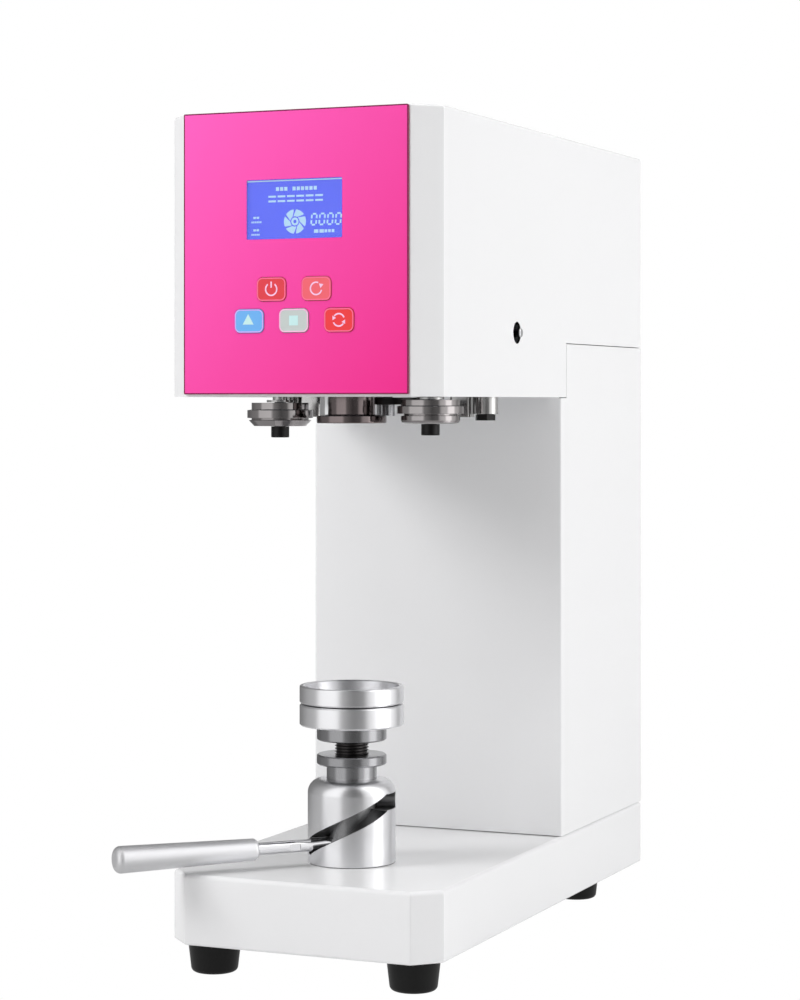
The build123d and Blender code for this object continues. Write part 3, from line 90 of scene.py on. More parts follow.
# Lamps: where each stands, its width and height, and its power in watts
LAMPS = {
    "key_lamp": ((-1.9, -1.6, 1.7), (1.2, 1.2), 47),
    "side_lamp": ((2.1, 0.6, 0.8), (1.2, 1.6), 27),
    "top_lamp": ((0.0, -0.1, 1.9), (1.4, 1.4), 18),
}

# Finishes that change along a piece, and painted shade in the side hole, in the barrel's bore and on
# the head plate's ears
EDGE_RADIUS = 0.35 * MM
HOLE_RADIUS = 11.0 * MM
HOLE_DEPTH = 16.0 * MM
CASING_SKIN = 0.2 * MM
BARREL_SKIN = 0.4 * MM
BARREL_SHOULDER = 0.15
PLATE_SHOWS = 0.1
PANEL_LINE = 0.9 * MM
ZINC_GREY = (176, 180, 186)

# Prints on the keys
PRINT_THICKNESS = 0.08 * MM
KEY_FLANGE = 1.6 * MM
KEY_OUTLINE_INSET = 0.15 * MM
KEY_OUTLINE_WIDTH = 0.85 * MM
KEY_OUTLINE_CORNER = 3.9 * MM
SIGN_RADIUS = 4.1 * MM
SIGN_STROKE = 1.0 * MM

# Display: a rotor, four noughts and rows of plain bars. Places are shares of the window
STRIP_HEIGHT = 0.8 * MM
ROTOR_UP = -0.215
ROTOR_BLADES = 6
HUB_RADIUS = 1.9 * MM
HUB_STROKE = 1.5 * MM
BLADE_ROOT = 3.4 * MM
BLADE_TIP = 8.1 * MM
BLADE_SWEEP = 50
BLADE_TWIST = math.radians(26)
BLADE_CORNER = 1.3 * MM
DIGITS = 4
DIGITS_ACROSS = 0.2
DIGITS_UP = -0.187
DIGIT_STEP = 0.0845
DIGIT_WIDTH = 3.6 * MM
DIGIT_HEIGHT = 7.2 * MM
DIGIT_STROKE = 1.15 * MM
DIGIT_LEAN = 0.12
DIGIT_TURN = -0.096

# Rows of bars in the place of words: where they start and stand, how many bars there are, and
# each bar's length, height and spacing
TEXT_ROWS = [
    (-0.2, 0.34, 3, 2.3 * MM, 2.5 * MM, 0.8 * MM),
    (-0.025, 0.34, 6, 2.3 * MM, 2.5 * MM, 0.8 * MM),
    (-0.28, 0.215, 6, 5.6 * MM, 1.3 * MM, 1.3 * MM),
    (-0.28, 0.135, 6, 5.6 * MM, 1.3 * MM, 1.3 * MM),
    (-0.44, -0.135, 2, 1.9 * MM, 1.4 * MM, 0.5 * MM),
    (-0.46, -0.21, 6, 0.9 * MM, 1.2 * MM, 0.4 * MM),
    (-0.44, -0.345, 2, 1.9 * MM, 1.4 * MM, 0.5 * MM),
    (-0.46, -0.42, 5, 0.9 * MM, 1.2 * MM, 0.4 * MM),
    (0.2, -0.387, 2, 3.2 * MM, 2.3 * MM, 0.8 * MM),
    (0.31, -0.387, 3, 1.9 * MM, 2.0 * MM, 0.7 * MM),
]

# Thread of the height stud
THREAD_PITCH = 2.0 * MM
THREAD_DEPTH = 1.1 * MM
THREAD_STEPS = 36
THREAD_START = 0.6
RIDGE_SHARE = 0.8
CREST_SHARE = 0.18

# Small fasteners
EDGE_ANGLE = math.radians(50)
DOME_SHARE = 0.35
SOCKET_SHARE = 0.5
BOLT_RADIUS = 5.0 * MM
BOLT_HEIGHT = 4.0 * MM
WASHER_RADIUS = 6.5 * MM
WASHER_HEIGHT = 1.2 * MM
WASHER_ROUND = 0.25 * MM
COVER_SCREW_RADIUS = 2.9 * MM
COVER_SCREW_HEIGHT = 1.6 * MM
COVER_SCREW_INSET = 6.0 * MM
COVER_SCREWS_UP = 5
SCREW_TIP_RADIUS = 3.2 * MM
SCREW_TIP_REACH = 2.4 * MM
SCREW_TIP_ROUND = 0.8 * MM
SCREW_TIP_OVERLAP = 1.0 * MM


def low(node):
    return Vector(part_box(node)[0])


def high(node):
    return Vector(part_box(node)[1])


def middle(node):
    return (low(node) + high(node)) / 2


# Shader nodes
def feed(tree, socket, value):
    """Set a socket, or link it where the value is another node's output."""
    if isinstance(value, bpy.types.NodeSocket):
        tree.links.new(value, socket)
    else:
        socket.default_value = value


def add_node(tree, kind, **inputs):
    node = tree.nodes.new(kind)
    for name, value in inputs.items():
        feed(tree, node.inputs[name], value)
    return node


def calculate(tree, operation, *values):
    node = tree.nodes.new("ShaderNodeMath")
    node.operation = operation
    for socket, value in zip(node.inputs, values):
        feed(tree, socket, value)
    return node.outputs["Value"]


def share_between(tree, value, start, end):
    """Nought at the start, one at the end and even in between."""
    node = tree.nodes.new("ShaderNodeMapRange")
    node.inputs["From Min"].default_value = start
    node.inputs["From Max"].default_value = end
    tree.links.new(value, node.inputs["Value"])
    return node.outputs["Result"]


def blend(tree, share, first, second):
    """The first colour turning into the second as the share rises from nought to one."""
    node = tree.nodes.new("ShaderNodeMix")
    node.data_type = "RGBA"
    feed(tree, node.inputs["Factor"], share)
    feed(tree, node.inputs[6], first)
    feed(tree, node.inputs[7], second)
    return node.outputs[2]


def blend_shaders(tree, share, first, second):
    node = tree.nodes.new("ShaderNodeMixShader")
    for socket, source in zip(node.inputs, (share, first, second)):
        tree.links.new(source, socket)
    return node.outputs["Shader"]


def coordinates(tree, space="Object"):
    where = tree.nodes.new("ShaderNodeTexCoord")
    return add_node(tree, "ShaderNodeSeparateXYZ", Vector=where.outputs[space]).outputs


def distance_from(tree, place, names, centre):
    """Distance between a place and a centre, measured along the named axes only."""
    flat = add_node(tree, "ShaderNodeCombineXYZ", **{name: place[name] for name in names})
    length = tree.nodes.new("ShaderNodeVectorMath")
    length.operation = "DISTANCE"
    length.inputs[1].default_value = centre
    tree.links.new(flat.outputs["Vector"], length.inputs[0])
    return length.outputs["Value"]


# Finishes
def linear(red, green, blue):
    shares = [value / 255 for value in (red, green, blue)]
    return tuple(v / 12.92 if v <= 0.04045 else ((v + 0.055) / 1.055) ** 2.4 for v in shares) + (1,)


def grey(light):
    return (light, light, light, 1)


def shader_of(finish):
    return finish.node_tree.nodes["Principled BSDF"]


def new_finish(name, colour, roughness, metallic=0.0, coat=0.0):
    finish = bpy.data.materials.new(name)
    finish.use_nodes = True
    shader = shader_of(finish)
    shader.inputs["Base Color"].default_value = linear(*colour)
    shader.inputs["Roughness"].default_value = roughness
    shader.inputs["Metallic"].default_value = metallic
    shader.inputs["Coat Weight"].default_value = coat
    shader.inputs["Coat Roughness"].default_value = 0.04
    return finish


def add_grain(finish, scale, strength, depth, stretch=(1, 1, 1), edge=0.0):
    """Fine relief, and where an edge radius is given, softly rounded edges under it."""
    tree = finish.node_tree
    where = tree.nodes.new("ShaderNodeTexCoord").outputs["Object"]
    place = add_node(tree, "ShaderNodeMapping", Vector=where, Scale=stretch).outputs["Vector"]
    noise = add_node(tree, "ShaderNodeTexNoise", Vector=place, Scale=scale, Detail=3.0)
    relief = add_node(
        tree, "ShaderNodeBump", Height=noise.outputs["Fac"], Strength=strength, Distance=depth
    )
    tree.links.new(relief.outputs["Normal"], shader_of(finish).inputs["Normal"])
    if edge:
        soft = add_node(tree, "ShaderNodeBevel", Radius=edge)
        tree.links.new(soft.outputs["Normal"], relief.inputs["Normal"])


def recolour(finish, share, colour):
    """Lay another colour over a finish where the share is one."""
    base = shader_of(finish).inputs["Base Color"]
    mixed = blend(finish.node_tree, share, base.default_value, linear(*colour))
    finish.node_tree.links.new(mixed, base)
    return finish


def recolour_below(finish, colour, top, radius=None):
    """Another colour below a height and, where a radius is given, within that radius."""
    tree = finish.node_tree
    place = coordinates(tree)
    share = calculate(tree, "LESS_THAN", place["Z"], top)
    if radius:
        near = calculate(tree, "LESS_THAN", distance_from(tree, place, "XY", AXIS), radius)
        share = calculate(tree, "MULTIPLY", share, near)
    return recolour(finish, share, colour)


def powder_white(name="powder_white"):
    finish = new_finish(name, (240, 240, 241), 0.26, coat=0.15)
    shader_of(finish).inputs["Specular IOR Level"].default_value = 0.35
    add_grain(finish, 420, 0.05, 0.2 * MM)
    return finish


def casing_white_hole_shade():
    """Powder white, with painted shade in the side hole: its wall is coloured near black for the shadow
    in the hole.
    """
    finish = powder_white("casing_white_hole_shade")
    tree, hole = finish.node_tree, middle("access_screw")
    place = coordinates(tree)
    wall = high("head_casing").x - HOLE_DEPTH / 2
    deep = calculate(tree, "COMPARE", place["X"], wall, HOLE_DEPTH / 2 - CASING_SKIN)
    from_hole = distance_from(tree, place, "YZ", (0, hole.y, hole.z))
    near = calculate(tree, "LESS_THAN", from_hole, HOLE_RADIUS)
    # Painted shade: the hole's wall is coloured near black where the hole lies in shadow.
    return recolour(finish, calculate(tree, "MULTIPLY", near, deep), (18, 18, 19))


def turned_metal(name, colour, roughness, lines=0.08):
    """Metal with the fine rings of a lathe around its upright axis."""
    finish = new_finish(name, colour, roughness, metallic=1.0)
    shader = shader_of(finish)
    shader.inputs["Anisotropic"].default_value = 0.6
    shader.inputs["Anisotropic Rotation"].default_value = 0.25
    around = finish.node_tree.nodes.new("ShaderNodeTangent")
    around.direction_type = "RADIAL"
    around.axis = "Z"
    finish.node_tree.links.new(around.outputs["Tangent"], shader.inputs["Tangent"])
    add_grain(finish, 20, lines, 0.1 * MM, stretch=(4, 4, 260), edge=EDGE_RADIUS)
    return finish


def rolled_metal(name, colour, roughness):
    finish = new_finish(name, colour, roughness, metallic=1.0)
    add_grain(finish, 300, 0.05, 0.1 * MM)
    return finish


def barrel_metal():
    """Turned aluminium, with painted shade: darker inside the barrel below its shoulder, for the shade
    in the bore.
    """
    finish = turned_metal("barrel_aluminium", (232, 232, 234), 0.28)
    lowest, highest = low("cam_barrel"), high("cam_barrel")
    shoulder = highest.z - BARREL_SHOULDER * (highest.z - lowest.z)
    inner_radius = (highest.x - lowest.x) / 2 - BARREL_SKIN
    # Painted shade: a darker grey on the bore's wall below the shoulder.
    return recolour_below(finish, (150, 150, 151), shoulder, inner_radius)


def plunger_metal():
    """Turned steel, darker where the barrel shades it."""
    finish = turned_metal("plunger_steel", (158, 158, 160), 0.24, 0.14)
    return recolour_below(finish, (132, 132, 133), high("cam_barrel").z)


def plate_metal():
    """The head plate: zinc grey where it shows below the head, with painted shade on its ears inside
    the head, which are coloured dark for the shadow there.
    """
    # Painted shade: the dark base colour stands for the shadow on the ears; zinc grey is laid on the
    # part below.
    finish = rolled_metal("plate_steel", (44, 44, 46), 0.5)
    casing_height = high("head_casing").z - low("head_casing").z
    return recolour_below(finish, ZINC_GREY, low("head_plate").z + PLATE_SHOWS * casing_height)


def panel_pink():
    """Glossy pink with painted light and shade, lighter at the upper left and deeper towards the lower
    right, a faint painted glow, and a dark line along the edges.
    """
    finish = new_finish("panel_pink", (246, 66, 166), 0.16, coat=0.1)
    shader, tree = shader_of(finish), finish.node_tree
    lowest, highest = low("front_panel"), high("front_panel")
    place = coordinates(tree)
    # Painted light and shade: the pink blends from lit at the upper left to shaded at the lower right.
    across = share_between(tree, place["X"], lowest.x, highest.x)
    down = share_between(tree, place["Z"], highest.z, lowest.z)
    painted_shade_share = share_between(tree, calculate(tree, "ADD", across, down), 0, 2)
    face = blend(tree, painted_shade_share, linear(255, 92, 190), linear(238, 30, 138))
    colour = blend(tree, panel_edge(tree, place), face, linear(120, 10, 66))
    tree.links.new(colour, shader.inputs["Base Color"])
    # Painted glow: the pink shines faintly by itself.
    tree.links.new(colour, shader.inputs["Emission Color"])
    shader.inputs["Emission Strength"].default_value = 0.06
    shader.inputs["Specular IOR Level"].default_value = 0.25
    return finish


def panel_edge(tree, place):
    """One near the panel's four edges, nought elsewhere."""
    centre = middle("front_panel")
    half = high("front_panel") - centre
    beyond = []
    for name, offset, reach in (("X", centre.x, half.x), ("Z", centre.z, half.z)):
        from_middle = calculate(tree, "ABSOLUTE", calculate(tree, "SUBTRACT", place[name], offset))
        beyond.append(calculate(tree, "GREATER_THAN", from_middle, reach - PANEL_LINE))
    return calculate(tree, "MAXIMUM", *beyond)


def lit(name, colour, strength):
    finish = new_finish(name, colour, 0.4)
    shader = shader_of(finish)
    shader.inputs["Emission Color"].default_value = linear(*colour)
    shader.inputs["Emission Strength"].default_value = strength
    return finish


def clear_glass():
    finish = new_finish("display_glass", (250, 252, 255), 0.02)
    shader = shader_of(finish)
    shader.inputs["Transmission Weight"].default_value = 1.0
    shader.inputs["IOR"].default_value = 1.45
    return finish


def rubber_black():
    finish = new_finish("rubber_black", (14, 14, 14), 0.42)
    shader_of(finish).inputs["Specular IOR Level"].default_value = 0.3
    add_grain(finish, 800, 0.12, 0.2 * MM)
    return finish


def key_plastic(name, colour):
    return new_finish(name, colour, 0.3, coat=0.4)


def key_print(name, colour):
    return new_finish(name, colour, 0.4)


POWDER = powder_white()
CASING = casing_white_hole_shade()
PINK = panel_pink()
SATIN = turned_metal("satin_aluminium", (236, 236, 238), 0.3)
BARREL = barrel_metal()
PLUNGER = plunger_metal()
GRIP_METAL = new_finish("grip_aluminium", (240, 240, 242), 0.5, metallic=1.0)
TURNED = turned_metal("turned_steel", (150, 150, 152), 0.22, 0.14)
DARK_STEEL = turned_metal("dark_steel", (62, 60, 60), 0.3, 0.1)
BRIGHT = turned_metal("tool_steel", (156, 152, 152), 0.08, 0.03)
CHUCK_METAL = turned_metal("chuck_steel", (122, 112, 112), 0.1, 0.04)
ARM_METAL = turned_metal("arm_steel", (196, 195, 194), 0.16, 0.04)
CHROME = new_finish("chromed_steel", (226, 226, 228), 0.06, metallic=1.0)
ZINC = rolled_metal("zinc_steel", ZINC_GREY, 0.38)
PLATE = plate_metal()
OXIDE = new_finish("black_oxide", (30, 29, 29), 0.38, metallic=0.7)
RUBBER = rubber_black()
BLACK_PLASTIC = new_finish("black_plastic", (24, 24, 25), 0.4)
CIRCUIT = new_finish("circuit_green", (22, 92, 54), 0.5)
MOTOR = new_finish("motor_black", (40, 40, 43), 0.45, metallic=0.3)
GLASS = clear_glass()
DISPLAY = lit("display_blue", (60, 82, 226), 0.5)
DISPLAY_PRINT = lit("display_print", (170, 205, 226), 0.45)
KEY_RED = key_plastic("key_red", (226, 38, 56))
KEY_CORAL = key_plastic("key_coral", (244, 92, 106))
KEY_BLUE = key_plastic("key_blue", (104, 178, 244))
KEY_GREY = key_plastic("key_grey", (198, 206, 204))
KEY_BRIGHT = key_plastic("key_bright_red", (240, 30, 40))
ROSE_SIGN = key_print("rose_sign", (255, 206, 240))
MINT_SIGN = key_print("mint_sign", (204, 240, 240))
ROSE_PRINT = key_print("rose_outline", (255, 112, 152))
VIOLET_PRINT = key_print("violet_outline", (206, 180, 255))
PINK_PRINT = key_print("pink_outline", (255, 198, 232))

NODE_FINISHES = {
    POWDER: ["base_casing", "column_cover", "rear_cover"],
    CASING: ["head_casing"],
    PINK: ["front_panel"],
    BARREL: ["cam_barrel"],
    PLUNGER: ["plunger"],
    SATIN: ["tray_base", "can_cup", "spindle_pulley", "motor_pulley", "spindle_housing"],
    GRIP_METAL: ["lever_grip"],
    TURNED: ["tray_hub", "lock_nut", "cam_shaft", "motor_shaft"],
    ARM_METAL: ["left_arm", "right_arm"],
    DARK_STEEL: ["guide_ring", "seaming_cam"],
    BRIGHT: ["left_roller", "right_roller", "left_follower", "right_follower"],
    CHUCK_METAL: ["seaming_chuck", "spindle_shaft"],
    CHROME: ["lever_rod", "access_screw", "thrust_bearing", "spindle_bearings"],
    ZINC: ["base_plate", "stiffener_plate", "left_upright", "right_upright", "power_supply"],
    PLATE: ["head_plate"],
    OXIDE: ["base_screws", "pivot_bolts", "chuck_screw", "left_roller_screw", "right_roller_screw"],
    RUBBER: ["foot_front_left", "foot_front_right", "foot_rear_left", "foot_rear_right", "drive_belt"],
    BLACK_PLASTIC: ["power_inlet", "switch_rocker"],
    CIRCUIT: ["control_board"],
    MOTOR: ["motor_body", "cam_gearmotor"],
    GLASS: ["lcd_window"],
    DISPLAY: ["lcd_module"],
    KEY_RED: ["key_power"],
    KEY_CORAL: ["key_clear"],
    KEY_BLUE: ["key_start"],
    KEY_GREY: ["key_stop"],
    KEY_BRIGHT: ["key_auto"],
}


def dress_nodes():
    for finish, names in NODE_FINISHES.items():
        for name in names:
            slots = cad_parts[name].data.materials
            slots.clear()
            slots.append(finish)


# Modelling helpers
def deselect():
    if bpy.context.object and bpy.context.object.mode == "EDIT":
        bpy.ops.object.mode_set(mode="OBJECT")
    bpy.ops.object.select_all(action="DESELECT")


def pick(piece):
    deselect()
    piece.select_set(True)
    bpy.context.view_layer.objects.active = piece


def edit():
    bpy.ops.object.mode_set(mode="EDIT")
    bpy.ops.mesh.select_mode(type="VERT")


def edit_all():
    edit()
    bpy.ops.mesh.select_all(action="SELECT")


def leave_edit():
    bpy.ops.object.mode_set(mode="OBJECT")


def settle():
    bpy.ops.object.transform_apply(location=True, rotation=True, scale=True)


def apply_modifier(kind, **settings):
    bpy.ops.object.modifier_add(type=kind)
    modifier = bpy.context.object.modifiers[-1]
    for name, value in settings.items():
        setattr(modifier, name, value)
    bpy.ops.object.modifier_apply(modifier=modifier.name)


def round_edges(width, segments):
    apply_modifier(
        "BEVEL", width=width, segments=segments, limit_method="ANGLE", angle_limit=EDGE_ANGLE
    )


def choose_vertices(test):
    bpy.ops.mesh.select_all(action="DESELECT")
    leave_edit()
    for vertex in bpy.context.object.data.vertices:
        vertex.select = test(vertex.co)
    bpy.ops.object.mode_set(mode="EDIT")


def even_normals():
    edit_all()
    bpy.ops.mesh.normals_make_consistent(inside=False)
    leave_edit()


def cylinder(radius, depth, sides, place, turn=(0, 0, 0)):
    deselect()
    bpy.ops.mesh.primitive_cylinder_add(
        vertices=sides, radius=radius, depth=depth, location=place, rotation=turn
    )
    settle()
    return bpy.context.object


def bar(width, height, x=0.0, y=0.0, turn=0.0):
    deselect()
    bpy.ops.mesh.primitive_plane_add(size=1, location=(x, y, 0), rotation=(0, 0, turn))
    bpy.context.object.scale = (width, height, 1)
    settle()
    return bpy.context.object


def outline(width, height, corner, stroke):
    """A flat frame with rounded corners."""
    piece = bar(width, height)
    edit_all()
    bpy.ops.mesh.bevel(offset=corner, segments=6, affect="VERTICES")
    bpy.ops.mesh.select_mode(type="FACE")
    bpy.ops.mesh.select_all(action="SELECT")
    bpy.ops.mesh.inset(thickness=stroke)
    bpy.ops.mesh.delete(type="FACE")
    leave_edit()
    return piece


def arc(radius, stroke, start, sweep, sides=48):
    """A flat band around the middle from start through sweep, in degrees."""
    deselect()
    inner = radius - stroke / 2
    bpy.ops.mesh.primitive_circle_add(vertices=sides, radius=inner, fill_type="NOTHING")
    edit()
    if sweep < 360:
        slack = 0.01

        def outside(place):
            angle = math.degrees(math.atan2(place.y, place.x)) - start
            return angle % 360 > sweep + slack

        choose_vertices(outside)
        bpy.ops.mesh.delete(type="VERT")
    bpy.ops.mesh.select_all(action="SELECT")
    grow = (radius + stroke / 2) / inner
    bpy.ops.mesh.extrude_region_move()
    bpy.ops.transform.resize(value=(grow, grow, 1), center_override=AXIS)
    even_normals()
    return bpy.context.object


def arrow_head(size, x, y, turn):
    deselect()
    bpy.ops.mesh.primitive_circle_add(
        vertices=3, radius=size, fill_type="NGON", location=(x, y, 0), rotation=(0, 0, turn)
    )
    settle()
    return bpy.context.object


def joined(pieces):
    deselect()
    for piece in pieces:
        piece.select_set(True)
    bpy.context.view_layer.objects.active = pieces[0]
    if len(pieces) > 1:
        bpy.ops.object.join()
    return bpy.context.object


def thicken(piece, thickness):
    """Give a flat piece a thickness upwards, away from the face that it is printed on."""
    pick(piece)
    even_normals()
    up = sum(face.normal.z for face in piece.data.polygons)
    if up < 0:
        edit_all()
        bpy.ops.mesh.flip_normals()
        leave_edit()
    apply_modifier("SOLIDIFY", thickness=thickness, offset=1)


def hand_over(piece, name, body, finish):
    """Name a finished piece and give it its body and its finish."""
    pick(piece)
    settle()
    piece.name = name
    piece.data.name = name
    piece.data.materials.clear()
    piece.data.materials.append(finish)
    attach(piece, body)


def print_on_front(pieces, name, body, finish, place):
    piece = joined(pieces)
    thicken(piece, PRINT_THICKNESS)
    piece.rotation_euler = IN_FRONT
    piece.location = place
    hand_over(piece, name, body, finish)


# Signs on the keys
def power_sign():
    """A ring with a gap at the top and a stroke in it."""
    gap = 70
    ring = arc(SIGN_RADIUS, SIGN_STROKE, 90 + gap / 2, 360 - gap)
    return [ring, bar(SIGN_STROKE, SIGN_RADIUS, 0, 0.75 * SIGN_RADIUS)]


def clear_sign():
    """A ring that turns back on itself, with an arrow head at its end."""
    start, sweep = 60, 285
    ring = arc(SIGN_RADIUS, SIGN_STROKE, start, sweep)
    across, up = 0.86 * SIGN_RADIUS, 0.5 * SIGN_RADIUS
    return [ring, arrow_head(1.9 * SIGN_STROKE, across, up, math.radians(-70))]


def start_sign():
    return [arrow_head(1.15 * SIGN_RADIUS, -0.15 * SIGN_RADIUS, 0, 0)]


def stop_sign():
    side = 1.6 * SIGN_RADIUS
    return [bar(side, side)]


def auto_sign():
    """Two arcs that chase each other, each with its arrow head."""
    sweep = 125
    pieces = [arc(SIGN_RADIUS, SIGN_STROKE, start, sweep) for start in (20, 200)]
    for side in (-1, 1):
        across, up = side * 0.9 * SIGN_RADIUS, side * -0.32 * SIGN_RADIUS
        pieces.append(arrow_head(1.7 * SIGN_STROKE, across, up, side * math.pi / 2))
    return pieces


KEY_SIGNS = {
    "key_power": (power_sign, "key_red", ROSE_PRINT, ROSE_SIGN),
    "key_clear": (clear_sign, "key_coral", ROSE_PRINT, ROSE_SIGN),
    "key_start": (start_sign, "key_blue", VIOLET_PRINT, MINT_SIGN),
    "key_stop": (stop_sign, "key_grey", PINK_PRINT, MINT_SIGN),
    "key_auto": (auto_sign, "key_bright_red", ROSE_PRINT, ROSE_SIGN),
}


def print_keys():
    rim = KEY_FLANGE + KEY_OUTLINE_INSET
    for node, (sign, slot, outline_finish, sign_finish) in KEY_SIGNS.items():
        centre, size = middle(node), high(node) - low(node)
        front = Vector((centre.x, low(node).y, centre.z))
        width, height = size.x - 2 * rim, size.z - 2 * rim
        body = node + "_cap"
        edge = outline(width, height, KEY_OUTLINE_CORNER, KEY_OUTLINE_WIDTH)
        print_on_front([edge], node + "_outline", body, outline_finish, front)
        print_on_front(sign(), node + "_sign", body, sign_finish, front)


# Display
def blade(start):
    """One swept blade: a band of the ring whose outer end is turned on."""
    middle_radius = (BLADE_ROOT + BLADE_TIP) / 2
    piece = arc(middle_radius, BLADE_TIP - BLADE_ROOT, start, BLADE_SWEEP, sides=360)
    edit()
    choose_vertices(lambda place: place.length > middle_radius)
    bpy.ops.transform.rotate(value=BLADE_TWIST, orient_axis="Z", center_override=AXIS)
    bpy.ops.mesh.select_all(action="SELECT")
    bpy.ops.mesh.dissolve_limited(angle_limit=math.radians(2))
    bpy.ops.mesh.select_all(action="SELECT")
    bpy.ops.mesh.bevel(offset=BLADE_CORNER, segments=4, affect="VERTICES")
    leave_edit()
    return piece


def rotor():
    hub = arc(HUB_RADIUS, HUB_STROKE, 0, 360)
    return [hub] + [blade(360 * i / ROTOR_BLADES) for i in range(ROTOR_BLADES)]


def nought(x, y):
    """A slanted nought of two level bars and four upright ones."""
    half_w, half_h = DIGIT_WIDTH / 2, DIGIT_HEIGHT / 2
    pieces = []
    for end in (-1, 1):
        lean = end * half_h * DIGIT_LEAN
        pieces.append(bar(DIGIT_WIDTH - DIGIT_STROKE, DIGIT_STROKE, x + lean, y + end * half_h))
        for side in (-1, 1):
            across, up = x + side * half_w + lean / 2, y + end * half_h / 2
            pieces.append(bar(DIGIT_STROKE, half_h - DIGIT_STROKE, across, up, DIGIT_TURN))
    return pieces


def text_bars(x, y, count, length, height, spacing):
    return [bar(length, height, x + length / 2 + (length + spacing) * i, y) for i in range(count)]


def print_display():
    window = "lcd_window"
    size = high(window) - low(window)
    icon = joined(rotor())
    icon.location = (0, ROTOR_UP * size.z, 0)
    settle()
    pieces = [icon, bar(size.x, STRIP_HEIGHT, 0, size.z / 2 - STRIP_HEIGHT)]
    for i in range(DIGITS):
        pieces += nought((DIGITS_ACROSS + DIGIT_STEP * i) * size.x, DIGITS_UP * size.z)
    for across, up, *sizes in TEXT_ROWS:
        pieces += text_bars(across * size.x, up * size.z, *sizes)
    front = Vector((middle(window).x, low("lcd_module").y, middle(window).z))
    print_on_front(pieces, "display_content", "frame", DISPLAY_PRINT, front)


# Threaded stud under the tray
def threaded_stud():
    node = "height_stud"
    bottom, top = low(node), high(node)
    radius, length = (top.x - bottom.x) / 2, top.z - bottom.z
    root = radius - THREAD_DEPTH
    core = cylinder(root, length, 64, (0, 0, (top.z + bottom.z) / 2))
    ridge = thread_ridge(radius, root, bottom.z, int(length / THREAD_PITCH) - 1)
    stud = joined([core, ridge])
    hand_over(stud, "threaded_stud", "tray", DARK_STEEL)
    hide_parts(node)


def thread_ridge(radius, root, bottom, turns):
    """The thread's profile, narrower at its crest, wound up the stud."""
    deselect()
    bpy.ops.mesh.primitive_plane_add(size=1, rotation=IN_FRONT)
    ridge = bpy.context.object
    depth = 2 * THREAD_DEPTH
    start = bottom + THREAD_START * THREAD_PITCH
    ridge.scale = (depth, RIDGE_SHARE * THREAD_PITCH, 1)
    ridge.location = (radius - depth / 2, 0, start)
    settle()
    edit()
    choose_vertices(lambda place: place.x > root)
    bpy.ops.transform.resize(value=(1, 1, CREST_SHARE), center_override=(0, 0, start))
    leave_edit()
    steps = THREAD_STEPS * turns
    apply_modifier(
        "SCREW", angle=math.tau * turns, screw_offset=THREAD_PITCH * turns, steps=steps,
        render_steps=steps, use_merge_vertices=False, axis="Z",
    )
    even_normals()
    return ridge


# Small fasteners
def socket_head(radius, height):
    """A domed cap with a hexagonal socket, standing on the origin and looking up."""
    head = cylinder(radius, height, 36, (0, 0, height / 2))
    round_edges(DOME_SHARE * height, 4)
    cutter = cylinder(SOCKET_SHARE * radius, height, 6, (0, 0, height))
    pick(head)
    apply_modifier("BOOLEAN", object=cutter, operation="DIFFERENCE", solver="EXACT")
    bpy.data.objects.remove(cutter, do_unlink=True)
    return head


def copies(pattern, places, turn):
    """One joined piece of a pattern's copies, each turned and put in its place."""
    made = []
    for place in places:
        pick(pattern)
        bpy.ops.object.duplicate(linked=False)
        copy = bpy.context.object
        copy.rotation_euler = turn
        copy.location = place
        settle()
        made.append(copy)
    bpy.data.objects.remove(pattern, do_unlink=True)
    return joined(made)


def cover_screws():
    lowest, highest = low("rear_cover"), high("rear_cover")
    first, last = lowest.z + COVER_SCREW_INSET, highest.z - COVER_SCREW_INSET
    step = (last - first) / (COVER_SCREWS_UP - 1)
    columns = (lowest.x + COVER_SCREW_INSET, highest.x - COVER_SCREW_INSET)
    places = [(x, highest.y, first + step * i) for x in columns for i in range(COVER_SCREWS_UP)]
    heads = copies(socket_head(COVER_SCREW_RADIUS, COVER_SCREW_HEIGHT), places, FACING_BACK)
    hand_over(heads, "cover_screws", "frame", CHROME)


def side_screw_tip():
    """End of the screw in the side hole: it runs on from the screw's head and out of the wall."""
    start = high("access_screw").x - SCREW_TIP_OVERLAP
    stop = high("head_casing").x + SCREW_TIP_REACH
    screw = middle("access_screw")
    place = ((start + stop) / 2, screw.y, screw.z)
    tip = cylinder(SCREW_TIP_RADIUS, stop - start, 48, place, FACING_RIGHT)
    round_edges(SCREW_TIP_ROUND, 4)
    hand_over(tip, "side_screw_tip", "frame", CHROME)


def upright_bolts():
    plate_low = low("base_plate").z
    places = []
    for node in ("left_upright", "right_upright"):
        centre = middle(node)
        reach = (high(node).y - low(node).y) / 4
        places += [(centre.x, centre.y + side * reach, plate_low) for side in (-1, 1)]
    heads = copies(socket_head(BOLT_RADIUS, BOLT_HEIGHT), places, FACING_DOWN)
    washer = cylinder(WASHER_RADIUS, WASHER_HEIGHT, 36, (0, 0, WASHER_HEIGHT / 2))
    round_edges(WASHER_ROUND, 2)
    washers = copies(washer, places, FACING_DOWN)
    hand_over(washers, "upright_washers", "frame", ZINC)
    hand_over(heads, "upright_bolts", "frame", OXIDE)


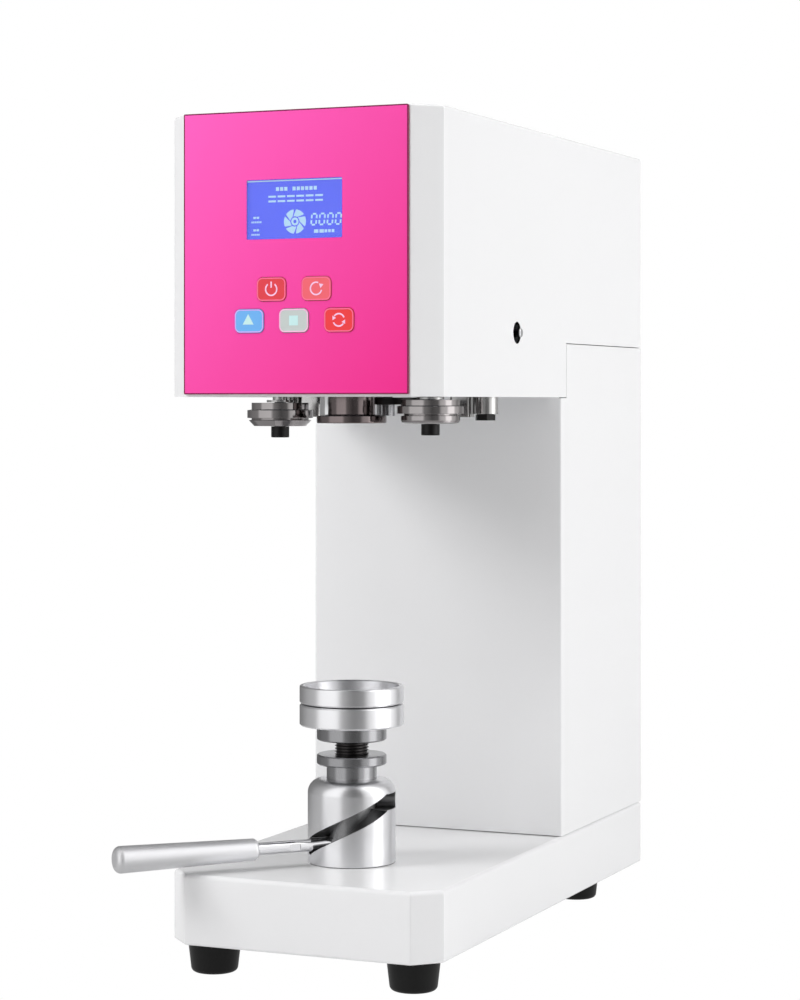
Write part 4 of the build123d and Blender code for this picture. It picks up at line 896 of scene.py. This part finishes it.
# Studio
def studio_bands(tree, space):
    """Soft upright grey bands around a white studio, which give round metal its streaks."""
    place = coordinates(tree, space)
    angle = calculate(tree, "ARCTAN2", place["Y"], place["X"])
    ramp = add_node(tree, "ShaderNodeValToRGB", Fac=share_between(tree, angle, -math.pi, math.pi))
    stops = ramp.color_ramp.elements
    while len(stops) < len(STUDIO_BANDS):
        stops.new(0.5)
    for stop, (degrees, light) in zip(stops, STUDIO_BANDS):
        stop.position = (degrees + 180) / 360
        stop.color = grey(light)
    return ramp.outputs["Color"]


def floor_light(tree):
    """White for the camera. In reflections, grey near the machine and bands further out."""
    from_axis = distance_from(tree, coordinates(tree), "XY", AXIS)
    far = share_between(tree, from_axis, GREY_FLOOR_RADIUS, BANDS_FLOOR_RADIUS)
    reflected = blend(tree, far, grey(FLOOR_GREY), studio_bands(tree, "Object"))
    path = tree.nodes.new("ShaderNodeLightPath")
    return blend(tree, path.outputs["Is Glossy Ray"], WHITE, reflected)


def floor_finish():
    """Shines for the camera and in reflections, is plain white for light, and clear from below."""
    finish = bpy.data.materials.new("floor_white")
    finish.use_nodes = True
    shader, tree = shader_of(finish), finish.node_tree
    shader.inputs["Base Color"].default_value = grey(FLOOR_WHITE)
    shader.inputs["Roughness"].default_value = 0.55
    shine = add_node(tree, "ShaderNodeEmission", Color=floor_light(tree))
    path = tree.nodes.new("ShaderNodeLightPath").outputs
    seen = calculate(tree, "MAXIMUM", path["Is Camera Ray"], path["Is Glossy Ray"])
    seen = calculate(tree, "MAXIMUM", seen, path["Is Transmission Ray"])
    above = blend_shaders(tree, seen, shader.outputs["BSDF"], shine.outputs["Emission"])
    below = tree.nodes.new("ShaderNodeBsdfTransparent").outputs["BSDF"]
    backfacing = tree.nodes.new("ShaderNodeNewGeometry").outputs["Backfacing"]
    surface = blend_shaders(tree, backfacing, above, below)
    tree.links.new(surface, tree.nodes["Material Output"].inputs["Surface"])
    return finish


def stage_floor():
    deselect()
    bpy.ops.mesh.primitive_plane_add(size=FLOOR_SIZE, location=(0, 0, low("foot_front_left").z))
    floor = bpy.context.object
    floor.name = "floor"
    floor.data.materials.append(floor_finish())


def sky(tree, colour, strength=1.0):
    return add_node(tree, "ShaderNodeBackground", Color=colour, Strength=strength).outputs["Background"]


def studio_world():
    """White for the camera and through glass, banded in reflections, and an even light else."""
    world = bpy.data.worlds.new("studio")
    bpy.context.scene.world = world
    world.use_nodes = True
    tree = world.node_tree
    path = tree.nodes.new("ShaderNodeLightPath").outputs
    even, bands = sky(tree, WHITE, SKY_STRENGTH), sky(tree, studio_bands(tree, "Generated"))
    light = blend_shaders(tree, path["Is Glossy Ray"], even, bands)
    clear = calculate(tree, "MAXIMUM", path["Is Camera Ray"], path["Is Transmission Ray"])
    backdrop = blend_shaders(tree, clear, light, sky(tree, WHITE))
    tree.links.new(backdrop, tree.nodes["World Output"].inputs["Surface"])


def studio_lamps():
    """Lamps turned to the machine's middle, each a rectangle that no metal reflects."""
    lowest, highest = (Vector(corner) for corner in solid_bounds)
    centre = (lowest + highest) / 2
    for name, (place, size, power) in LAMPS.items():
        deselect()
        bpy.ops.object.light_add(type="AREA", location=place)
        lamp = bpy.context.object
        lamp.name = name
        lamp.data.shape = "RECTANGLE"
        lamp.data.size, lamp.data.size_y = size
        lamp.data.energy = power
        lamp.visible_glossy = False
        lamp.rotation_euler = (centre - Vector(place)).to_track_quat("-Z", "Y").to_euler()


def place_camera():
    camera = bpy.data.cameras.new("camera")
    holder = bpy.data.objects.new("camera", camera)
    bpy.context.scene.collection.objects.link(holder)
    camera.lens = FOCAL_LENGTH
    camera.sensor_width = SENSOR_SIZE
    camera.shift_y = VIEW_SHIFT
    holder.location = (VIEW_X, VIEW_Y, low("foot_front_left").z + VIEW_HEIGHT)
    holder.rotation_euler = (math.pi / 2, 0, math.radians(VIEW_TURN))
    bpy.context.scene.camera = holder


dress_nodes()
print_keys()
print_display()
threaded_stud()
cover_screws()
side_screw_tip()
upright_bolts()
stage_floor()
studio_world()
studio_lamps()
place_camera()
bpy.context.scene.view_settings.view_transform = "Standard"
